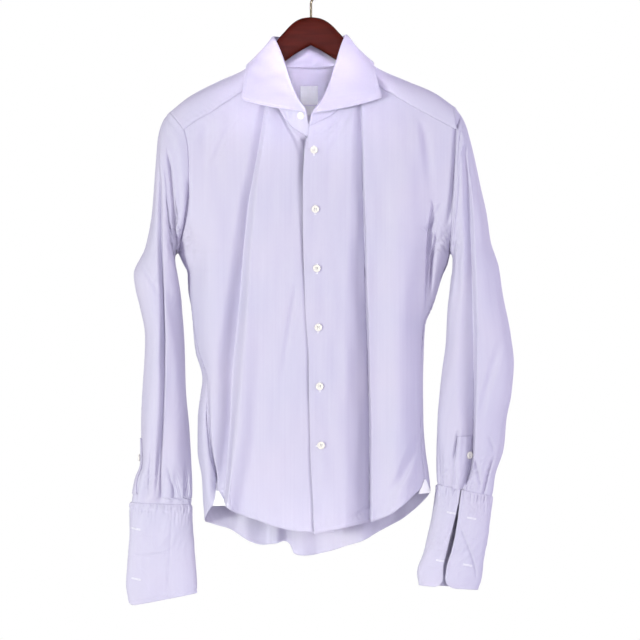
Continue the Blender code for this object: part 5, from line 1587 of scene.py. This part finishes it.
# ---------------------------------------------------------------- buttons
# Thin pearl buttons with a rolled rim and four holes, sewn on with white thread.  One
# closes the band, six the front, and one each sleeve placket.
BUTTON_RADIUS = 5.8
BUTTON_THICKNESS = 2.6
BUTTON_PROFILE = [          # shares of the radius and the thickness, from below to the middle
    (0, 0), (0.72, 0), (0.86, 0.12), (0.96, 0.38), (1, 0.6), (0.98, 0.8), (0.92, 0.95),
    (0.84, 1), (0.76, 0.95), (0.68, 0.8), (0.6, 0.7), (0.5, 0.66), (0, 0.66),
]
BUTTON_SIDES, HOLE_SIDES = 40, 12
BUTTON_HOLE = 0.75
BUTTON_HOLE_REACH = 1.45
BUTTON_CLEARANCE = 0.35
FRONT_BUTTONS = 6
FIRST_BUTTON_DROP = 276.7
BUTTON_PITCH = 88.8
BUTTON_LINE = (4.6, 0.0245)
BAND_BUTTON = (-14.5, IN_FRONT, 224.5)
PLACKET_BUTTON = {"left": (240, IN_FRONT, 737), "right": (OUTSIDE, -3, 742)}
PEARL = ((0.70, 0.67, 0.60, 1), (0.80, 0.78, 0.73, 1))

pearl = Finish("button_pearl", Roughness=0.35, Coat_Weight=0.3, Coat_Roughness=0.15)
pearl_place = pearl.node("TexCoord", {}, out="Object")
pearl_cloud = pearl.node("TexNoise", {}, Vector=pearl_place, Scale=260.0, Detail=2.0)
button_pearl = pearl.wear(Base_Color=pearl.blend(pearl_cloud, *PEARL))


def lofted(name, rings, finish):
    """Solid with a skin through rings of points; a ring of one point is the end of it."""
    work = bmesh.new()
    made = [[work.verts.new(point) for point in to_world(ring)] for ring in rings]
    steps = max(len(ring) for ring in made)
    made = [ring * (steps // len(ring)) for ring in made]
    for low, high in zip(made[:-1], made[1:]):
        for k in range(steps):
            n = (k + 1) % steps
            work.faces.new(list(dict.fromkeys([low[k], low[n], high[n], high[k]])))
    for end in (made[0][::-1], made[-1]):
        if end[0] != end[1]:
            work.faces.new(end)
    bmesh.ops.recalc_face_normals(work, faces=work.faces)
    mesh = bpy.data.meshes.new(name)
    work.to_mesh(mesh)
    work.free()
    mesh.shade_smooth()
    return added(name, mesh, finish)


def turned_disc(name, profile, steps):
    """Pearl solid turned from a profile of radius and height."""
    rings = []
    for radius, height in profile:
        ring = [(radius * math.cos(math.tau * k / steps), radius * math.sin(math.tau * k / steps),
                 -height) for k in range(steps)]
        rings.append(ring if radius else ring[:1])
    return lofted(name, rings, button_pearl)


def drilled_button(name):
    """Button with its four holes cut through."""
    profile = [(r * BUTTON_RADIUS, h * BUTTON_THICKNESS) for r, h in BUTTON_PROFILE]
    button = turned_disc(name, profile, BUTTON_SIDES)
    for k in range(4):
        a = math.tau * (k + 0.5) / 4
        drill = turned_disc("drill", [(0, -1), (BUTTON_HOLE, -1), (BUTTON_HOLE, 4), (0, 4)],
                            HOLE_SIDES)
        drill.location = (BUTTON_HOLE_REACH * math.cos(a) * MM,
                          BUTTON_HOLE_REACH * math.sin(a) * MM, 0)
        cut = button.modifiers.new("hole", "BOOLEAN")
        cut.object = drill
        cut.solver = "EXACT"
        bpy.context.view_layer.update()
        drilled = bpy.data.meshes.new_from_object(
            button.evaluated_get(bpy.context.evaluated_depsgraph_get()))
        button.modifiers.clear()
        button.data = drilled
        bpy.data.objects.remove(drill)
    return button


def front_button(number):
    """x and drop of a front button, counted from 0 at the top."""
    drop = FIRST_BUTTON_DROP + number * BUTTON_PITCH
    return BUTTON_LINE[0] + BUTTON_LINE[1] * (drop - FIRST_BUTTON_DROP), drop


first_button = drilled_button("button_first")
top_surface = surface_of(fronts["left"])
band_surface = surface_of(band_piece)
seats = []
for number in range(FRONT_BUTTONS):
    x, drop = front_button(number)
    seats.append((f"button_front_{number + 1}", top_surface, (x, IN_FRONT, drop), INWARD))
seats.append(("button_band", band_surface, BAND_BUTTON, INWARD))
for side in ("left", "right"):
    strip = bpy.data.objects[f"sleeve_placket_{side}_cloth"]
    seats.append((f"button_sleeve_{side}", surface_of(strip), PLACKET_BUTTON[side],
                  PLACKET[side]["into"]))
buttons = []
for name, surface, start, into in seats:
    spot, normal = seat(surface, start, into)
    button = added(f"{name}_pearl", first_button.data)
    button.rotation_mode = "QUATERNION"
    button.rotation_quaternion = normal.to_track_quat("Z", "Y")
    button.location = spot + normal * BUTTON_CLEARANCE * MM
    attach(button, "root")
    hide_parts(name)
    buttons.append(button)
bpy.data.objects.remove(first_button)

# ---------------------------------------------------------------- buttonholes and thread
# Buttonholes worked close in white thread: upright on the front apart from the lowest, level
# in the band and the cuffs.  The same thread holds each button by its four holes.
HOLE_LENGTH = 16.0
HOLE_PITCH = 0.46
HOLE_LIP = (0.25, 1.35)
HOLE_THREAD = 0.26
HOLE_CLEARANCE = 0.00012
HOLE_BELOW_BUTTON = 1.0
UPRIGHT, LEVEL = (0, 0, 1), (1, 0, 0)
BAND_HOLE = dict(start=(19.5, IN_FRONT, 215.5), along=(0.93, 0, -0.37), length=13.0)
CUFF_HOLE_ALONG = (0.98, 0, 0.17)
CUFF_HOLE_LENGTH = 14.0
CUFF_HOLES = {              # x, drop, and 1 in front or -1 behind
    "right": [(-266, 849.5, 1), (-266, 926, 1), (-266, 850, -1), (-266, 926, -1)],
    "left": [(213.5, 825, 1), (244, 833, 1), (197, 898, 1), (238, 904.5, 1)],
}
BUTTON_LOOP = [(-1.1, 1.7), (-0.5, 2.05), (0.5, 2.05), (1.1, 1.7)]
BUTTON_LOOP_REACH = 1.03
LOOP_THREAD = 0.42


def worked_hole(surface, start, into, along, length=HOLE_LENGTH):
    """Short bars of thread along both lips of a slit, laid on a piece."""
    into, along = np.array(into, float), np.array(along, float)
    across = np.cross(into, along)
    bars = []
    for step in np.arange(-length / 2, length / 2 + 0.01, HOLE_PITCH):
        for sign in (-1, 1):
            bar = []
            for off in np.linspace(*HOLE_LIP, 4) * sign:
                spot, normal = seat(surface, np.array(start) + along * step + across * off, into)
                bar.append(from_world(spot + normal * HOLE_CLEARANCE) + from_world(normal, 1))
            bars.append(bar)
    bars = np.array(bars)
    return spindles(bars[..., :3], bars[..., 3:], HOLE_THREAD)


holes = []
for number in range(FRONT_BUTTONS):
    x, drop = front_button(number)
    along = LEVEL if number == FRONT_BUTTONS - 1 else UPRIGHT
    holes.append(worked_hole(top_surface, (x, IN_FRONT, drop + HOLE_BELOW_BUTTON), INWARD, along))
holes.append(worked_hole(band_surface, into=INWARD, **BAND_HOLE))
threads("buttonholes_front", holes, white_thread)
for side, places in CUFF_HOLES.items():
    surface = surface_of(cuffs[side])
    holes = [worked_hole(surface, (x, IN_FRONT * facing, drop), (0, facing, 0), CUFF_HOLE_ALONG,
                         CUFF_HOLE_LENGTH) for x, drop, facing in places]
    threads(f"buttonholes_cuff_{side}", holes, white_thread)

loops = []
for button in buttons:
    turn = button.rotation_quaternion
    up = np.array([from_world(turn @ Vector((0, 0, 1)), 1)] * len(BUTTON_LOOP))
    for side in (-1, 1):
        bar = [from_world(turn @ (Vector((place, side * BUTTON_LOOP_REACH, height)) * MM)
                          + button.location) for place, height in BUTTON_LOOP]
        loops.append(spindles(np.array([bar]), up[None], LOOP_THREAD))
threads("button_thread", loops, white_thread)

# ---------------------------------------------------------------- hanger
# Contoured hanger of dark stained wood with a satin lacquer; the hump in the middle takes
# the hook.
HANGER_MEASURES = ("top", "bottom", "y", "thick")
HANGER = table("x top bottom y thick", [
    (0, 70, 113, 0, 14), (12, 71.5, 119, 0, 14), (22, 75.5, 125, 0, 14),
    (31, 82, 131, 0, 14), (41, 92.5, 138, 0, 14), (49, 101.5, 143, -0.5, 14),
    (62, 119, 153, -1.5, 13), (80, 137.4, 170, -3, 14), (100, 151.6, 186, -6, 16),
    (131, 166, 203, -10, 17), (160, 180.2, 212, -15, 18), (182, 192.6, 217, -20, 19),
    (199, 206.2, 219, -23, 18), (206, 211, 219, -24, 14), (209, 214.5, 217.5, -24.5, 7),
])
HANGER_TILT = 0.75
HANGER_SQUARENESS = 0.45
HANGER_SIDES = 40
HANGER_HALF = np.concatenate([np.linspace(0, 200, 81)[1:], np.linspace(202, 209, 8)])
HANGER_LEVEL = (20, 36)     # the hump stays level up to here, and then the arms tilt
MAHOGANY = ((0.017, 0.0016, 0.001, 1), (0.062, 0.0065, 0.003, 1))

wood = Finish("dark_mahogany", Roughness=0.45, Specular_Ior_Level=0.03)
wood_place = wood.node("TexCoord", {}, out="Object")
wood_long = wood.node("Mapping", {}, Vector=wood_place, Scale=(6.0, 90.0, 60.0))
wood_figure = wood.node("TexNoise", {}, Vector=wood_long, Scale=3.0, Detail=5.0)
wood_pores = wood.node("TexNoise", {}, Vector=wood_long, Scale=22.0, Detail=2.0)
dark_mahogany = wood.wear(
    Base_Color=wood.blend(wood_figure, *MAHOGANY),
    Normal=wood.node("Bump", {}, Strength=0.2, Distance=0.0002, Height=wood_pores))

lean = math.tan(math.radians(HANGER_TILT))
phi = (np.arange(HANGER_SIDES) + 0.5) * math.tau / HANGER_SIDES
high = signed_power(np.sin(phi), HANGER_SQUARENESS)
deep = signed_power(np.cos(phi), HANGER_SQUARENESS)
rings = []
for x in np.concatenate([-HANGER_HALF[::-1], [0.0], HANGER_HALF]):
    top, bottom, y, thick = (read(HANGER, name, abs(x)) for name in HANGER_MEASURES)
    tilt = x * lean * ramp(abs(x), *HANGER_LEVEL)
    drop = (top + bottom) / 2 - (bottom - top) / 2 * high - tilt
    rings.append(grid_of(x, y + thick / 2 * deep, drop))
hanger_piece = lofted("hanger_arms", rings, dark_mahogany)
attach(hanger_piece, "root")
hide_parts("hanger_wood")

# ---------------------------------------------------------------- hanger hook
# Hook of bronzed steel wire, bent cold to a round crook and screwed into the hump.  Its
# shank stands upright over the middle of the neck.
HOOK_WIRE = 3.6
HOOK_INNER_RADIUS = 19.0
HOOK_BEND = np.arange(200, -61, -5)     # degrees, from its tip to where the shank begins
HOOK_SHANK = 13
HOOK_IN_WOOD = 1.0
BRONZE = ((0.10, 0.085, 0.055, 1), (0.20, 0.17, 0.12, 1))

bronze = Finish("bronzed_steel", Metallic=1.0, Roughness=0.3)
bronze_place = bronze.node("TexCoord", {}, out="Object")
bronze_drawn = bronze.node("TexNoise", {}, Vector=bronze_place, Scale=300.0, Detail=3.0)
bronzed_steel = bronze.wear(Base_Color=bronze.blend(bronze_drawn, *BRONZE))

radius = HOOK_INNER_RADIUS + HOOK_WIRE / 2
points = [(radius * math.cos(a), 0, HOOK_INNER_RADIUS - radius * math.sin(a))
          for a in np.radians(HOOK_BEND)]
bend_x, _, bend_drop = points[-1]
for t in np.linspace(0.1, 1.0, 10):
    points.append((bend_x * (1 - t) ** 2.2, 0, mix(bend_drop, bend_drop + HOOK_SHANK, t)))
points.append((0, 0, HANGER["top"][0] + HOOK_IN_WOOD))
curve = bpy.data.curves.new("hook_wire", "CURVE")
curve.dimensions = "3D"
curve.bevel_depth = HOOK_WIRE / 2 * MM
curve.bevel_resolution = 4
curve.use_fill_caps = True
line = curve.splines.new("POLY")
line.points.add(len(points) - 1)
for knot, place in zip(line.points, to_world(points)):
    knot.co = (*place, 1.0)
hook_piece = added("hook_wire", curve, bronzed_steel)
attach(hook_piece, "root")
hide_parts("hanger_hook")
